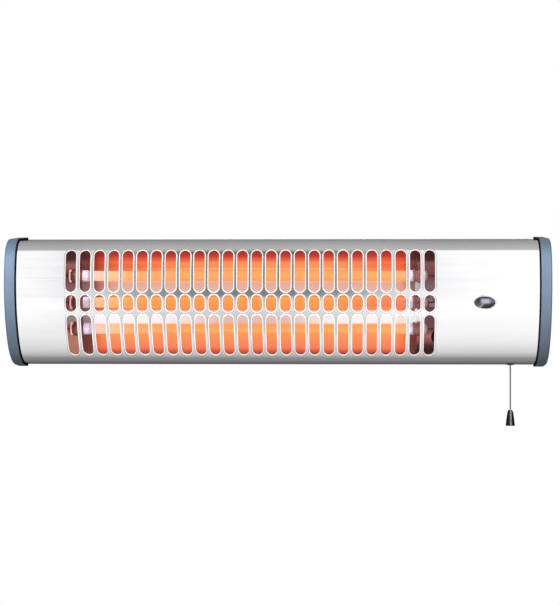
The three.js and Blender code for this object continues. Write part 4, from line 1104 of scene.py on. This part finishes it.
def glossy_black(n, s):
    """Polished black moulding, with a painted pale highlight line down its front."""
    x = n.axes()[0]
    fine = n.noise(2600.0, 2.0)
    # Painted highlight: a pale line down the middle.
    highlight_line = n.range(n.away(x, HIGHLIGHT_LINE_X), 0.0004, 0.0010, 1.0, 0.0)
    s["Base Color"] = n.mix(highlight_line, (0.004, 0.004, 0.005), (0.17, 0.17, 0.18))
    s["Roughness"] = n.range(fine, 0.3, 0.7, 0.14, 0.22)
    s["Specular IOR Level"] = 0.22


paint_knob = material("glossy_black", glossy_black)

KNOB_TOP = -76.81
knob = [(0.0, 0.0), (0.8, 0.03), (1.6, 0.35), (2.2, 0.9), (2.7, 1.8), (3.05, 3.0), (3.85, 8.0), (4.6, 14.6)]
knob += [(4.75, 15.4), (4.7, 15.8), (4.5, 16.0), (3.9, 16.0), (3.7, 15.7), (3.5, 14.6), (0.0, 14.6)]
cord_knob = turned("pull_knob_turned", knob, (*CORD, KNOB_TOP), (0, 0, -1), paint_knob, "cord", steps=56,
                   sharp=50, nodes=("pull_knob",), slot="black_plastic")

CORD_TOP, CORD_END, CORD_POINTS = -34.51, -76.51, 20
line = bpy.data.curves.new("pull_cord_line", "CURVE")
line.dimensions = "3D"
line.bevel_depth = 0.75 * MM
line.bevel_resolution = 4
line.use_fill_caps = True
strand = line.splines.new("POLY")
strand.points.add(CORD_POINTS - 1)
for k, point in enumerate(strand.points):
    drop = CORD_TOP + (CORD_END - CORD_TOP) * k / (CORD_POINTS - 1)
    point.co = (CORD[0] * MM, CORD[1] * MM, drop * MM, 1)
line.materials.append(paint_braid)
cord = link(bpy.data.objects.new("pull_cord_line", line))
cord.visible_glossy = False
cord_knob.visible_glossy = False
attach(cord, "cord")
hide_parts("pull_cord")

inner = [(0.0, -34.36), (0.35, -34.28), (0.62, -34.0), (0.75, -33.6), (0.75, -3.6), (0.6, -3.1), (0.0, -3.0)]
turned("inner_cord_braid", inner, (*CORD, 0.0), (0, 0, 1), paint_braid, "pull", steps=16,
       nodes=("inner_cord",), slot="cord_braid")

# -------- back, wall bracket and inner parts

# Painted light and shade on the back plate behind the end slots: paler low at the left, and where light falls
# on it.
PAINTED_BACK_LEFT = (
    (-50, 196, 140, 120), (-38, 202, 146, 124), (-31, 190, 134, 112), (-26, 160, 96, 80),
    (-21, 182, 156, 152), (-10, 170, 166, 168), (-7, 146, 84, 78), (8, 144, 92, 88), (14, 166, 120, 126),
    (20, 140, 90, 92), (29, 122, 78, 74), (34, 168, 106, 98), (37, 182, 120, 114), (40, 140, 92, 86),
    (43, 88, 52, 52), (50, 74, 46, 50),
)
PAINTED_BACK_RIGHT = (
    (-47, 58, 34, 34), (-43, 92, 56, 54), (-40, 142, 88, 85), (-34, 182, 116, 110), (-29, 118, 76, 74),
    (-16, 120, 84, 92), (0, 104, 62, 62), (12, 142, 114, 124), (19, 136, 102, 106), (24, 120, 78, 78),
    (34, 136, 92, 92), (39, 150, 101, 102), (42, 84, 44, 44), (46, 68, 38, 42),
)


PLATE_INSIDE = -0.0276  # y in metres; what lies in front of it is inside


def back_sheet(n, s):
    """Zinc plated outside; inside, the plate's colour and glow are painted light and shade from the tubes, by
    height.
    """
    x, y, z = n.axes()
    fine = n.noise(900.0)
    inner = n.math("LESS_THAN", y, PLATE_INSIDE)
    share = seen_height(n, z)
    left, right = height_ramp(n, share, PAINTED_BACK_LEFT), height_ramp(n, share, PAINTED_BACK_RIGHT)
    painted_tone = n.mix(n.range(x, -0.15, 0.10), left, right)
    s["Base Color"] = n.mix(inner, spangle(n), painted_tone)
    s["Metallic"] = n.math("SUBTRACT", 1.0, inner)
    s["Roughness"] = n.range(fine, 0.2, 0.8, 0.34, 0.48)
    s.shine(n.mix(inner, (0.0, 0.0, 0.0), painted_tone), 0.55)
    s["Normal"] = n.bump(fine, 0.08)


def plate_in_red_light(n, s):
    """Tube support plate in painted red light and shade from the tubes, with painted pale light where light
    falls from the side.
    """
    fine = n.noise(700.0)
    tone = n.blend(fine, rgb(74, 36, 40), rgb(104, 58, 56))
    s["Base Color"] = tone
    s["Metallic"] = 0.6
    s["Roughness"] = 0.45
    x, _, z = n.axes()
    # Painted light: pale bands at two heights.
    pale = height_ramp(n, seen_height(n, z), ((-22, 0), (-18, 0.75), (-8, 0.75), (-4, 0), (9, 0), (11, 0.4),
                                              (19, 0.4), (21, 0)))
    # Only the side of the right hand plate that faces the tubes.
    near = n.times(n.math("GREATER_THAN", x, 0.1), n.range(x, 0.1415, 0.1435, 1.0, 0.0))
    s.shine(n.mix(n.times(pale, near), n.mix(0.65, tone, (0.0, 0.0, 0.0)), (1.0, 0.98, 1.0)), 1.0)


def lamp_glass(n, s):
    """Neon lamp with its orange glow."""
    grain = n.noise(500.0, 2.0)
    s["Base Color"] = n.blend(grain, (0.8, 0.45, 0.3), (0.9, 0.55, 0.4))
    s["Roughness"] = 0.08
    s.shine(n.blend(grain, rgb(255, 120, 60), rgb(255, 150, 90)), 0.8)


def sleeve(n, s):
    """Woven glass sleeve of the inner wiring."""
    wave = n.add("ShaderNodeTexWave", {"Vector": n.place(), "Scale": 900.0}).outputs[1]
    s["Base Color"] = n.blend(wave, (0.55, 0.50, 0.42), (0.72, 0.68, 0.60), 0.2, 0.8)
    s["Roughness"] = 0.8


paint_back = material("back_sheet", back_sheet)
paint_plate = material("plate_painted_red_light", plate_in_red_light)
paint_lamp = material("neon_glass", lamp_glass)
paint_sleeve = material("glass_sleeve", sleeve)
# The terminal block's white glaze is darkened by painted shade and has no glow.
paint_block = material("white_glaze_in_painted_shade", glaze((0.52, 0.47, 0.44), (0.44, 0.39, 0.37), glow=0.0))

FINISHES = {
    paint_zinc: ["wall_bracket", "pivot_lug_left", "pivot_lug_right"],
    paint_plated: ["pivot_bolt_left", "pivot_bolt_right", "return_spring"],
    paint_back: ["back_plate"],
    paint_plate: ["tube_support_left", "tube_support_right", "bus_wire",
                  "lead_wire_upper", "lead_wire_middle", "lead_wire_lower"],
    paint_sleeve: ["supply_wire", "neutral_wire"],
    paint_block: ["terminal_block"],
    paint_black: ["cable_gland", "switch_cam"],
    paint_white: ["switch_case", "switch_cover", "switch_drum"],
    paint_brass: ["contact_leaf_left", "contact_leaf_right", "earth_screw"],
    paint_lamp: ["neon_lamp"],
}
for paint, names in FINISHES.items():
    for node in names:
        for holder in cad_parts[node].material_slots:
            holder.material = paint

COVER_SCREWS = (("upper", 87.68), ("lower", -27.28))
COVER_SCREW_X, COVER_SCREW_Y = 160.0, -26.0
for side, side_name in SIDES:
    for place_name, height in COVER_SCREWS:
        spot = (side * COVER_SCREW_X, COVER_SCREW_Y, height)
        crosshead("cover_screw", f"{side_name}_{place_name}", spot, (0, 1, 0), rise=2.1)


GRIP_X, PIVOT_Y = 202.3, -14.0


def grip(name, side):
    """A lock knob with eight soft lobes, on the pivot bolt."""
    profile = [(0.0, 0.0), (6.0, 0.0), (6.4, 0.3), (6.6, 1.2), (6.8, 2.6), (8.6, 3.4), (9.4, 4.2), (9.6, 5.2)]
    profile += [(9.6, 11.0), (9.3, 12.0), (8.6, 12.7), (7.4, 13.0), (5.2, 12.9), (4.6, 12.4), (0.0, 12.2)]
    steps, lobes, lobe_rise, smooth_below = 96, 8, 0.35, 7
    rings = []
    for radius, along in profile:
        ring = []
        for t in circle(steps):
            r = radius + (lobe_rise * math.cos(lobes * t) if radius > smooth_below else 0.0)
            ring.append((side * (GRIP_X + along), PIVOT_Y + r * math.cos(t), r * math.sin(t)))
        rings.append(ring)
    return piece(f"lock_grip_{name}", flat(rings), bridge(rings), paint_black, f"knob_{name}", sharp=50,
                 nodes=(f"tilt_knob_{name}",), slot="black_plastic")


for side, side_name in SIDES:
    grip(side_name, side)
